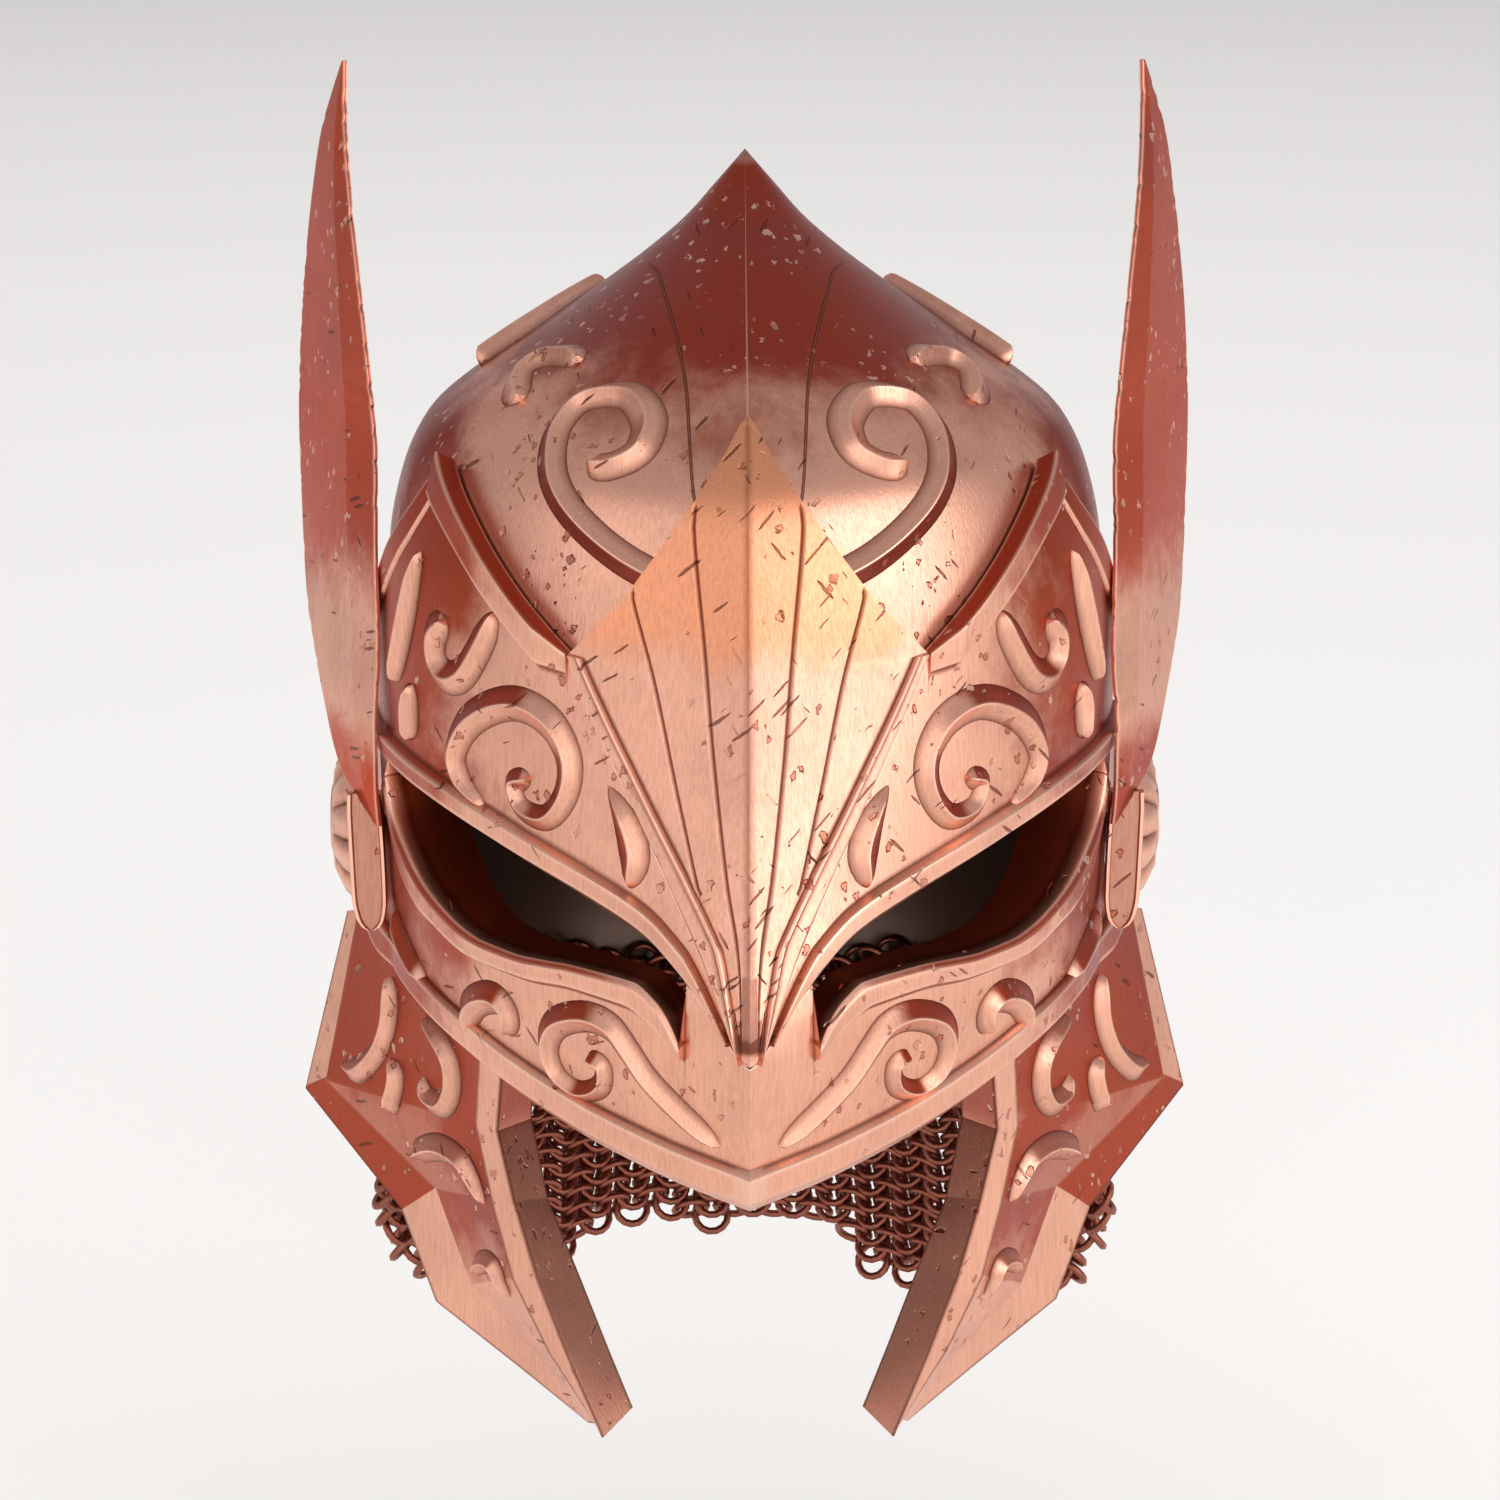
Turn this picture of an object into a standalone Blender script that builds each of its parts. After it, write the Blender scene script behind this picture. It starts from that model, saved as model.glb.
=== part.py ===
"""Fantasy helmet: hollow pointed skull, brow plate, visor halves, face plate, cheek guards,
ear bosses with tall wings, and a chain mail neck curtain. Metres, +Z up, face towards -Y.
The origin is the middle of the head, at the height of the ears."""
import math

import bmesh
import bpy
from mathutils import Matrix, Vector

for old in list(bpy.data.objects):
    bpy.data.objects.remove(old, do_unlink=True)

# Driving dimensions of the head form
HALF_WIDTH = 0.1015      # middle of the head to the skull's outside, over the ears
CROWN_HEIGHT = 0.2026    # ear level to the point of the crown
NOSE_REACH = 0.140       # ear line to the nose
NAPE_REACH = 0.119       # ear line to the back of the skull

# Metal and clearances
SKULL_WALL = 0.0020
PLATE = 0.0025           # visor and face plate
BROW_WALL = 0.0030
GUARD_WALL = 0.0025
GAP = 0.0003             # clearance between neighbouring pieces
SEAT = 0.0007            # how far the plates sit off the skull, facets allowed for

# Relief
SCROLL_WIDTH = 0.0082
SCROLL_RISE = 0.0034
SINK = 0.0010            # how deep a relief strip is let into its plate

# Borders of the plates
BROW_STRIP = 0.0065
BROW_STRIP_RISE = 0.0016
SLIT_BORDER = 0.0062
SLIT_BORDER_RISE = 0.0026
FLANGE_WIDTH = 0.0060
FLANGE_RISE = 0.0050
CHIN_BORDER = 0.0100
CHIN_BORDER_RISE = 0.0026
LID_RISE = 0.0026
LID_SHELF = 0.0022       # thickness of the shelf that runs inwards from the lid
REAR_FLARE = 0.0055      # how far the face plate's lower rear corners stand out for the guards

# Ear bosses, on the X axis line moved by these two
BOSS_RADIUS = 0.0265
BOSS_FORWARD = -0.006    # forward of the ear line is +, so the boss sits behind it
BOSS_HEIGHT = 0.007
BOSS_STANDOFF = 0.0049   # from the skull's widest place to the boss, over the plates that end there
BOSS_DEPTH = 0.0130
BOSS_SIDES = 12
HUB_RADIUS = 0.0080

# Cheek guards and mail
GUARD_DROP = 0.1450      # ear level to the guards' tips
MAIL_WALL = 0.0040       # depth of the woven rings
MAIL_SEAT = 0.0018       # between the mail and the skull's wall, facets allowed for

# Skull sections: all lengths are shares of the four head sizes
#   height, half_width, front, back, keel (0.5 is the sharpest front)
SECTIONS = [
    (-0.494, 0.905, 0.850, 0.905, 0.50),
    (-0.271, 0.935, 0.936, 0.916, 0.50),
    (-0.044, 0.985, 1.000, 0.983, 0.52),
    (0.148, 0.995, 0.918, 1.000, 0.57),
    (0.296, 1.000, 0.864, 0.992, 0.60),
    (0.469, 0.983, 0.811, 0.945, 0.62),
    (0.558, 0.946, 0.771, 0.880, 0.63),
    (0.627, 0.882, 0.725, 0.800, 0.64),
    (0.681, 0.761, 0.654, 0.700, 0.64),
    (0.740, 0.581, 0.543, 0.563, 0.64),
    (0.805, 0.404, 0.393, 0.402, 0.63),
    (0.859, 0.266, 0.261, 0.264, 0.62),
    (0.906, 0.161, 0.157, 0.164, 0.60),
    (0.950, 0.085, 0.082, 0.084, 0.57),
    (1.000, 0.000, 0.000, 0.000, 0.55),
]

# Edge lines. around: 0 is the front middle, 1 the side, 2 the back. height: share of the crown
SKULL_RIM = [(0.00, 0.250), (0.83, 0.257), (0.875, -0.095), (1.15, -0.100), (1.42, -0.320), (2.00, -0.430)]
BROW_TOP = [(0.006, 0.708), (0.066, 0.607), (0.155, 0.500), (0.259, 0.421)]
BROW_SIDE = [(0.000, -0.049), (0.053, 0.066), (0.108, 0.168), (0.183, 0.296), (0.259, 0.421)]
SLIT_TOP = [(0.000, -0.052), (0.033, -0.008), (0.074, 0.032), (0.131, 0.075), (0.209, 0.104),
            (0.316, 0.131), (0.447, 0.156), (0.592, 0.174), (0.772, 0.185), (0.970, 0.188)]
FLANGE = [(0.259, 0.421), (0.336, 0.468), (0.421, 0.520), (0.512, 0.571), (0.623, 0.620),
          (0.650, 0.590), (0.681, 0.560), (0.779, 0.485), (0.860, 0.420), (0.950, 0.350)]
LID_TOP = [(0.079, -0.044), (0.100, -0.010), (0.120, 0.008), (0.147, 0.021), (0.190, 0.022),
           (0.245, 0.021), (0.300, 0.016), (0.362, 0.011), (0.430, 0.011), (0.484, 0.017),
           (0.540, 0.030), (0.608, 0.051), (0.670, 0.079), (0.736, 0.116), (0.775, 0.160)]
LID_FOOT = [(0.079, -0.060), (0.120, -0.028), (0.163, -0.010), (0.247, -0.008), (0.344, -0.017),
            (0.462, -0.019), (0.580, 0.000), (0.620, 0.007), (0.700, 0.040), (0.770, 0.105)]
LID_DEPTH = [(0.079, 0.006), (0.147, 0.008), (0.400, 0.010), (0.640, 0.015), (0.775, 0.017)]
CHIN = [(0.000, -0.271), (0.096, -0.260), (0.231, -0.238), (0.373, -0.210), (0.499, -0.185),
        (0.677, -0.159), (0.860, -0.140), (0.970, -0.110)]

# Relief scrolls: around, height and girth, the last a share of the full strip
SCROLLS = {
    "crown_spiral": [(0.150, 0.538, 0.3), (0.207, 0.553, 0.8), (0.286, 0.577, 1.0),
                     (0.353, 0.614, 1.0), (0.411, 0.656, 1.0), (0.440, 0.694, 1.0),
                     (0.400, 0.722, 1.0), (0.291, 0.728, 1.1), (0.209, 0.708, 1.2),
                     (0.199, 0.677, 1.2), (0.242, 0.654, 1.0), (0.290, 0.646, 0.3)],
    "crown_hook": [(0.635, 0.699, 0.4), (0.735, 0.717, 1.0), (0.735, 0.744, 1.0),
                   (0.630, 0.759, 1.1), (0.545, 0.744, 1.1), (0.570, 0.716, 0.3)],
    "crown_band": [(0.980, 0.655, 0.5), (1.060, 0.690, 1.2), (1.150, 0.730, 1.3),
                   (1.250, 0.768, 1.2), (1.350, 0.800, 0.5)],
    "visor_volute": [(0.430, 0.190, 0.4), (0.484, 0.216, 1.0), (0.501, 0.250, 1.1),
                     (0.467, 0.296, 1.2), (0.405, 0.330, 1.2), (0.344, 0.343, 1.2),
                     (0.287, 0.327, 1.2), (0.256, 0.286, 1.1), (0.262, 0.239, 1.0),
                     (0.298, 0.202, 0.9), (0.346, 0.206, 0.8), (0.362, 0.236, 0.8),
                     (0.328, 0.248, 0.9)],
    "visor_hook": [(0.408, 0.458, 0.4), (0.433, 0.415, 0.9), (0.475, 0.362, 1.1),
                   (0.526, 0.339, 1.1), (0.572, 0.358, 1.0), (0.578, 0.402, 0.9),
                   (0.537, 0.433, 0.4)],
    "visor_leaf": [(0.610, 0.507, 0.4), (0.654, 0.451, 1.2), (0.680, 0.386, 1.3),
                   (0.700, 0.326, 0.4)],
    "visor_drop": [(0.652, 0.312, 0.4), (0.664, 0.276, 1.0), (0.668, 0.232, 0.4)],
    "visor_crescent": [(0.205, 0.268, 0.3), (0.180, 0.224, 0.8), (0.168, 0.186, 0.9),
                       (0.178, 0.156, 0.3)],
    "face_volute": [(0.030, -0.178, 0.5), (0.060, -0.160, 1.0), (0.096, -0.135, 1.1),
                    (0.134, -0.105, 1.1), (0.162, -0.073, 1.1), (0.190, -0.048, 1.1),
                    (0.234, -0.045, 1.1), (0.286, -0.068, 1.1), (0.307, -0.106, 1.0),
                    (0.292, -0.144, 0.9), (0.250, -0.158, 0.8), (0.213, -0.140, 0.8),
                    (0.206, -0.108, 0.8), (0.232, -0.102, 0.9)],
    "face_hook": [(0.512, -0.112, 0.4), (0.490, -0.082, 1.0), (0.444, -0.065, 1.1),
                  (0.402, -0.070, 1.0), (0.390, -0.092, 0.9), (0.409, -0.118, 0.4)],
}

# Cheek guard fold lines, top to tip: x, y, z as shares of half width, nose reach, guard drop
GUARD_FOLDS = {
    "rim": [(1.148, 0.086, -0.166), (1.286, 0.086, -0.552), (0.990, -0.157, -0.717),
            (0.887, -0.257, -0.876), (0.640, -0.429, -0.941), (0.443, -0.571, -0.993)],
    "rim_fold": [(1.113, 0.057, -0.152), (1.217, 0.029, -0.510), (0.882, -0.243, -0.634),
                 (0.778, -0.329, -0.810), (0.596, -0.471, -0.886), (0.437, -0.593, -0.976)],
    "border": [(0.724, -0.479, -0.152), (0.749, -0.429, -0.428), (0.704, -0.479, -0.572),
               (0.650, -0.521, -0.710), (0.552, -0.571, -0.841), (0.420, -0.629, -0.969)],
    "ridge": [(0.650, -0.543, -0.152), (0.685, -0.486, -0.414), (0.640, -0.521, -0.545),
              (0.576, -0.564, -0.690), (0.498, -0.607, -0.824), (0.399, -0.643, -0.990)],
    "return": [(0.571, -0.429, -0.152), (0.596, -0.371, -0.434), (0.552, -0.414, -0.586),
               (0.463, -0.464, -0.731), (0.384, -0.514, -0.862), (0.318, -0.557, -0.966)],
}
GUARD_SAG = 0.0008       # the field hollows towards its top, to pass inside the face plate
GUARD_FIELD_COLUMNS = 4
GUARD_ROWS_PER_FOLD = 2
GUARD_TIP_THINNING = 0.8 # share of the wall lost over the last two folds

# Guard scrolls: across (0 rim fold, 1 border), down (row of the fold table), girth
GUARD_SCROLLS = [
    [(0.300, 0.250, 0.4), (0.335, 0.400, 1.0), (0.345, 0.540, 1.0), (0.320, 0.690, 1.0),
     (0.265, 0.810, 1.0), (0.190, 0.890, 1.0), (0.090, 0.880, 0.4)],
    [(0.398, 0.740, 0.4), (0.450, 0.860, 1.0), (0.420, 1.040, 1.0), (0.320, 1.120, 0.4)],
    [(0.573, 0.402, 0.5), (0.690, 0.474, 1.0), (0.790, 0.613, 1.1), (0.810, 0.790, 1.1),
     (0.760, 0.930, 1.0), (0.660, 0.900, 0.9), (0.620, 0.780, 0.4)],
    [(0.180, 1.700, 0.4), (0.300, 1.600, 0.9), (0.580, 1.470, 1.1), (0.740, 1.540, 1.0),
     (0.780, 1.750, 0.9), (0.780, 2.050, 0.4)],
    [(0.180, 2.880, 0.4), (0.360, 2.780, 0.8), (0.580, 2.780, 0.9), (0.660, 2.930, 0.8),
     (0.620, 3.250, 0.3)],
]

# Wing stations: height, leading edge x and y, trailing edge x and y, thickness at the ridge.
# x is a share of the half width, y and height of the wing's own height
WING_HEIGHT = 0.2210
WING_RIDGE = 0.28        # where the fold lies between the edges
WING_EDGE = 0.0012
WING = [
    (0.078, 1.011, -0.145, 1.025, -0.131, 0.0016),
    (0.136, 1.016, -0.149, 1.128, -0.068, 0.0030),
    (0.204, 1.016, -0.147, 1.177, -0.009, 0.0040),
    (0.317, 1.002, -0.133, 1.234, 0.081, 0.0046),
    (0.410, 1.006, -0.118, 1.252, 0.140, 0.0048),
    (0.543, 1.009, -0.059, 1.261, 0.181, 0.0048),
    (0.656, 1.033, -0.014, 1.251, 0.204, 0.0046),
    (0.747, 1.059, 0.032, 1.232, 0.213, 0.0042),
    (0.837, 1.084, 0.081, 1.205, 0.208, 0.0038),
    (0.905, 1.097, 0.118, 1.177, 0.199, 0.0032),
    (0.959, 1.101, 0.145, 1.140, 0.183, 0.0026),
    (1.000, 1.101, 0.161, 1.108, 0.167, 0.0016),
]

# Mail: how far it spreads past the skull's inside, row by row from its top to its foot
MAIL_LAP = 0.0100        # how far the mail runs up inside the skull's rim
MAIL_FALL = 0.0042       # from the rim down to where the mail starts to spread
MAIL_SPREAD = [(0.00, 0.000), (0.25, 0.005), (0.55, 0.011), (1.00, 0.018)]
MAIL_FOOT = [(0.055, -0.60), (0.110, -0.62), (0.170, -0.74), (0.240, -0.80), (0.300, -0.84),
             (0.350, -0.80), (0.400, -0.78), (0.450, -0.82), (0.500, -0.81), (0.550, -0.82),
             (0.600, -0.77), (0.640, -0.84), (0.680, -0.93), (0.730, -0.91), (0.780, -0.82),
             (0.840, -0.75), (0.890, -0.63), (0.945, -0.60)]


def along(rows, place, column=1):
    """Value of a table column at a place between its rows, straight from row to row."""
    if place <= rows[0][0]:
        return rows[0][column]
    for low, high in zip(rows, rows[1:]):
        if place <= high[0]:
            share = (place - low[0]) / (high[0] - low[0])
            return low[column] + share * (high[column] - low[column])
    return rows[-1][column]


def eased(rows, place, column):
    """Value between the rows with a smooth slope that never overshoots them."""
    place = min(max(place, rows[0][0]), rows[-1][0])
    last = len(rows) - 1
    at = next(i for i in range(last) if place <= rows[i + 1][0])
    steps = [rows[i + 1][0] - rows[i][0] for i in range(last)]
    rates = [(rows[i + 1][column] - rows[i][column]) / steps[i] for i in range(last)]

    def slope(i):
        if i == 0 or i == last:
            return rates[min(i, last - 1)]
        if rates[i - 1] * rates[i] <= 0:
            return 0.0
        first, second = 2 * steps[i] + steps[i - 1], steps[i] + 2 * steps[i - 1]
        return (first + second) / (first / rates[i - 1] + second / rates[i])

    u = (place - rows[at][0]) / steps[at]
    start, end = slope(at) * steps[at], slope(at + 1) * steps[at]
    return ((2 * u**3 - 3 * u * u + 1) * rows[at][column] + (u**3 - 2 * u * u + u) * start
            + (3 * u * u - 2 * u**3) * rows[at + 1][column] + (u**3 - u * u) * end)


def section(height):
    """Half width, front reach, back reach and keel of the skull at a height in metres."""
    share = height / CROWN_HEIGHT
    return (HALF_WIDTH * eased(SECTIONS, share, 1), NOSE_REACH * eased(SECTIONS, share, 2),
            NAPE_REACH * eased(SECTIONS, share, 3), eased(SECTIONS, share, 4))


def skin(around, height):
    """Point of the skull's outer surface. The front half is creased in the middle."""
    half, front, back, keel = section(height)
    turn = abs(around)
    if turn <= 1:
        x = half * (2 * turn - turn * turn)
        y = -front * (1 - turn) * ((1 - turn) + 2 * keel * turn)
    else:
        x = half * math.cos((turn - 1) * math.pi / 2)
        y = back * math.sin((turn - 1) * math.pi / 2)
    return Vector((math.copysign(x, around), y, height))


def outward(around, height):
    """Normal of the skull, lengthened on the crease so that walls keep their thickness."""
    step = 1e-4
    side = 1 if around >= 0 else -1

    def plain(turn):
        along_it = skin(turn + step, height) - skin(turn - step, height)
        up_it = skin(turn, height + step) - skin(turn, height - step)
        return along_it.cross(up_it).normalized()

    if 2 * step < abs(around) < 2 - 2 * step:
        return plain(around)
    nearby = abs(around) + 3 * step if abs(around) < 1 else abs(around) - 3 * step
    normal = plain(side * nearby)
    middle = Vector((0, normal.y, normal.z)).normalized()
    return middle / max(middle.dot(normal), 0.4)


def ride(around, height, distance):
    """Point at a distance outside the skull's outer surface."""
    return skin(around, height) + outward(around, height) * distance


def material(name, colour, roughness):
    made = bpy.data.materials.new(name)
    made.use_nodes = True
    shader = made.node_tree.nodes["Principled BSDF"]
    shader.inputs["Base Color"].default_value = (*colour, 1)
    shader.inputs["Roughness"].default_value = roughness
    shader.inputs["Metallic"].default_value = 1.0
    return made


def solid(name, points, faces, paint=None):
    """Object from points and faces, welded and turned to face outwards."""
    mesh = bpy.data.meshes.new(name)
    mesh.from_pydata([tuple(p) for p in points], [], faces)
    work = bmesh.new()
    work.from_mesh(mesh)
    bmesh.ops.remove_doubles(work, verts=work.verts, dist=1e-6)
    bmesh.ops.recalc_face_normals(work, faces=work.faces)
    work.to_mesh(mesh)
    work.free()
    made = bpy.data.objects.new(name, mesh)
    bpy.context.scene.collection.objects.link(made)
    if paint:
        mesh.materials.append(paint)
    return made


def shell(name, outer, inner, paint, closed_round=False):
    """Closed wall between two equal grids of points, each a list of columns."""
    columns, rows = len(outer), len(outer[0])
    points = [p for grid in (outer, inner) for column in grid for p in column]
    faces = []

    def index(grid, i, k):
        return grid * columns * rows + (i % columns) * rows + k

    for i in range(columns if closed_round else columns - 1):
        for k in range(rows - 1):
            for grid in (0, 1):
                faces.append([index(grid, i, k), index(grid, i + 1, k),
                              index(grid, i + 1, k + 1), index(grid, i, k + 1)])
        for k in (0, rows - 1):
            faces.append([index(0, i, k), index(0, i + 1, k), index(1, i + 1, k), index(1, i, k)])
    if not closed_round:
        for i in (0, columns - 1):
            for k in range(rows - 1):
                faces.append([index(0, i, k), index(0, i, k + 1),
                              index(1, i, k + 1), index(1, i, k)])
    return solid(name, points, faces, paint)


def smooth_path(rows, per_row):
    """Points of a curve through every row of a table of three columns."""
    path = []
    for i in range(len(rows) - 1):
        near = [Vector(rows[min(max(i + k, 0), len(rows) - 1)]) for k in (-1, 0, 1, 2)]
        for step in range(per_row):
            u = step / per_row
            path.append(0.5 * (2 * near[1] + (near[2] - near[0]) * u
                               + (2 * near[0] - 5 * near[1] + 4 * near[2] - near[3]) * u * u
                               + (3 * near[1] - near[0] - 3 * near[2] + near[3]) * u**3))
    path.append(Vector(rows[-1]))
    return path


def relief(name, rows, place, per_row=2):
    """Raised strip with a crisp ridge. place(a, b) gives a point of the plate and its normal."""
    path = smooth_path(rows, per_row)
    spots = [place(p.x, p.y) for p in path]
    points, faces = [], []
    for i, (spot, normal) in enumerate(spots):
        ahead = spots[min(i + 1, len(spots) - 1)][0] - spots[max(i - 1, 0)][0]
        side = ahead.cross(normal).normalized()
        girth = path[i].z
        reach = side * SCROLL_WIDTH / 2 * girth
        points += [spot + reach - normal * SINK, spot - reach - normal * SINK,
                   spot + normal * SCROLL_RISE * min(1.0, 0.25 + 0.75 * girth)]
    last = 3 * (len(spots) - 1)
    for i in range(len(spots) - 1):
        for a, b in ((0, 1), (1, 2), (2, 0)):
            faces.append([3 * i + a, 3 * i + b, 3 * i + 3 + b, 3 * i + 3 + a])
    faces += [[0, 1, 2], [last, last + 1, last + 2]]
    return solid(name, points, faces)


def solder(target, additions):
    """Join relief strips to their plate, so that the casting is one solid."""
    for addition in additions:
        boolean = target.modifiers.new("solder", "BOOLEAN")
        boolean.operation = "UNION"
        boolean.solver = "EXACT"
        boolean.object = addition
    graph = bpy.context.evaluated_depsgraph_get()
    joined = bpy.data.meshes.new_from_object(target.evaluated_get(graph))
    target.modifiers.clear()
    target.data = joined
    for addition in additions:
        bpy.data.objects.remove(addition, do_unlink=True)


def on_skull(side, distance):
    """Place function for relief on a plate that follows the skull."""
    def place(around, share):
        height = share * CROWN_HEIGHT
        normal = outward(side * around, height).normalized()
        return ride(side * around, height, distance), normal
    return place


def mirrored(source, name):
    """The same piece on the other side of the head."""
    mesh = source.data.copy()
    mesh.transform(Matrix.Diagonal((-1, 1, 1, 1)))
    mesh.flip_normals()
    made = bpy.data.objects.new(name, mesh)
    bpy.context.scene.collection.objects.link(made)


# Copper-coloured metal, a slightly different tone for each group of pieces
COPPER = {
    "skull": material("skull_copper", (0.62, 0.30, 0.22), 0.36),
    "brow": material("brow_copper", (0.78, 0.44, 0.32), 0.34),
    "visor": material("visor_copper", (0.74, 0.40, 0.31), 0.35),
    "face": material("face_copper", (0.76, 0.42, 0.33), 0.35),
    "guard": material("guard_copper", (0.70, 0.36, 0.28), 0.37),
    "boss": material("boss_copper", (0.72, 0.38, 0.30), 0.36),
    "wing": material("wing_copper", (0.60, 0.27, 0.20), 0.34),
    "mail": material("mail_copper", (0.48, 0.20, 0.15), 0.45),
}

SIDES = (("left", -1), ("right", 1))


# Skull
SKULL_COLUMNS = [0.0, 0.08, 0.16, 0.25, 0.34, 0.44, 0.54, 0.64, 0.74, 0.83, 0.875, 0.94,
                 1.0, 1.13, 1.28, 1.44, 1.62, 1.81]
SKULL_LEVELS = [0.35, 0.45, 0.53, 0.59, 0.64, 0.69, 0.74, 0.79, 0.84, 0.89, 0.945]
SKULL_WAIST = 0.29       # first level above the whole rim
rounds = SKULL_COLUMNS + [2.0] + [-turn for turn in reversed(SKULL_COLUMNS[1:])]
outer, inner = [], []
for turn in rounds:
    rim = along(SKULL_RIM, abs(turn))
    heights = [rim, (rim + SKULL_WAIST) / 2, SKULL_WAIST] + SKULL_LEVELS
    outer.append([skin(turn, share * CROWN_HEIGHT) for share in heights])
    inner.append([ride(turn, share * CROWN_HEIGHT, -SKULL_WALL) for share in heights])
count, rows = len(rounds), len(outer[0])
points = [p for grid in (outer, inner) for column in grid for p in column]
points += [Vector((0, 0, CROWN_HEIGHT)), Vector((0, 0, CROWN_HEIGHT - 2.6 * SKULL_WALL))]
faces = []
for i in range(count):
    following = (i + 1) % count
    for grid in (0, 1):
        start = grid * count * rows
        for k in range(rows - 1):
            faces.append([start + i * rows + k, start + following * rows + k,
                          start + following * rows + k + 1, start + i * rows + k + 1])
        faces.append([start + i * rows + rows - 1, start + following * rows + rows - 1,
                      2 * count * rows + grid])
    faces.append([i * rows, following * rows, count * rows + following * rows,
                  count * rows + i * rows])
skull = solid("skull", points, faces, COPPER["skull"])
solder(skull, [relief(name, SCROLLS[name], on_skull(side, 0.0))
               for name in ("crown_spiral", "crown_hook", "crown_band") for _, side in SIDES])


# Brow plate: rows from the nose to the top, columns from side to side
BROW_LEVELS = [-0.044, -0.02, 0.02, 0.066, 0.12, 0.168, 0.23, 0.296, 0.36, 0.405, 0.421,
               0.440, 0.47, 0.50, 0.55, 0.607, 0.66, 0.69, 0.704]
BROW_STRIP_END = 0.421   # the raised strips stop at the plate's widest place
outer, inner = [], []
for share in BROW_LEVELS:
    if share <= BROW_STRIP_END:
        wide = along([(height, around) for around, height in BROW_SIDE], share)
    else:
        wide = along([(height, around) for around, height in reversed(BROW_TOP)], share)
    height = share * CROWN_HEIGHT
    metres = (skin(wide, height) - skin(0, height)).length
    strip = 1 - min(0.55, BROW_STRIP / metres)
    step = 1 - min(0.60, (BROW_STRIP + 0.0005) / metres)
    rise = BROW_STRIP_RISE if share <= BROW_STRIP_END else 0.0
    across = [(1.0, 0.2 * rise), ((1 + strip) / 2, rise), (strip, rise), (step, 0.0),
              (step * 0.62, 0.0), (step * 0.3, 0.0)]
    line = [(-a, r) for a, r in across] + [(0.0, 0.0)] + list(reversed(across))
    outer.append([ride(a * wide, height, SEAT + BROW_WALL + r) for a, r in line])
    inner.append([ride(a * wide, height, SEAT) for a, r in line])
brow = shell("brow_plate", outer, inner, COPPER["brow"])


# Visor halves
VISOR_COLUMNS = [0.016, 0.033, 0.074, 0.131, 0.195, 0.245, 0.257, 0.270, 0.336, 0.421, 0.512,
                 0.580, 0.623, 0.650, 0.700, 0.779, 0.860, 0.950]
VISOR_FIELD = [0.28, 0.54, 0.74, 0.88, 1.0]
VISOR_CORNER = 0.259     # where the brow plate is widest and the flange starts
outer, inner = [], []
for turn in VISOR_COLUMNS:
    low = along(SLIT_TOP, turn) * CROWN_HEIGHT
    flanged = turn > VISOR_CORNER
    if flanged:
        top = along(FLANGE, turn) * CROWN_HEIGHT
    else:
        top = along(BROW_SIDE, turn) * CROWN_HEIGHT - 2.4 * GAP
    tall = top - low
    band = min(SLIT_BORDER, 0.6 * tall)
    flange = FLANGE_WIDTH if flanged else 0.15 * tall
    rise = FLANGE_RISE if flanged and turn < 0.64 else (0.0015 if flanged else 0.0)
    span = tall - band - flange
    field = [low + band + share * span for share in [min(0.1, 0.0004 / span)] + VISOR_FIELD]
    face = SEAT + PLATE
    line = [(low, face + 0.4 * SLIT_BORDER_RISE), (low + 0.35 * band, face + SLIT_BORDER_RISE),
            (low + band, face + 0.7 * SLIT_BORDER_RISE)]
    line += [(height, face) for height in field]
    line += [(top - 0.85 * flange, face + 0.9 * rise), (top, face + rise)]
    outer.append([ride(turn, height, out) for height, out in line])
    inner.append([ride(turn, height, SEAT) for height, out in line])
visor = shell("visor_right", outer, inner, COPPER["visor"])
solder(visor, [relief(name, SCROLLS[name], on_skull(1, SEAT + PLATE))
               for name in SCROLLS if name.startswith("visor")])
mirrored(visor, "visor_left")


# Face plate, from side to side
FACE_HALF = [0.033, 0.074, 0.080, 0.120, 0.163, 0.220, 0.320, 0.420, 0.520, 0.620,
             0.700, 0.770, 0.805, 0.930]
LID_START, LID_END = 0.077, 0.79


def rear_flare(around, height):
    back = min(1.0, max(0.0, (around - 0.80) / 0.13))
    below = min(1.0, max(0.0, (-0.020 - height / CROWN_HEIGHT) / 0.09))
    return REAR_FLARE * back * below


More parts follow.
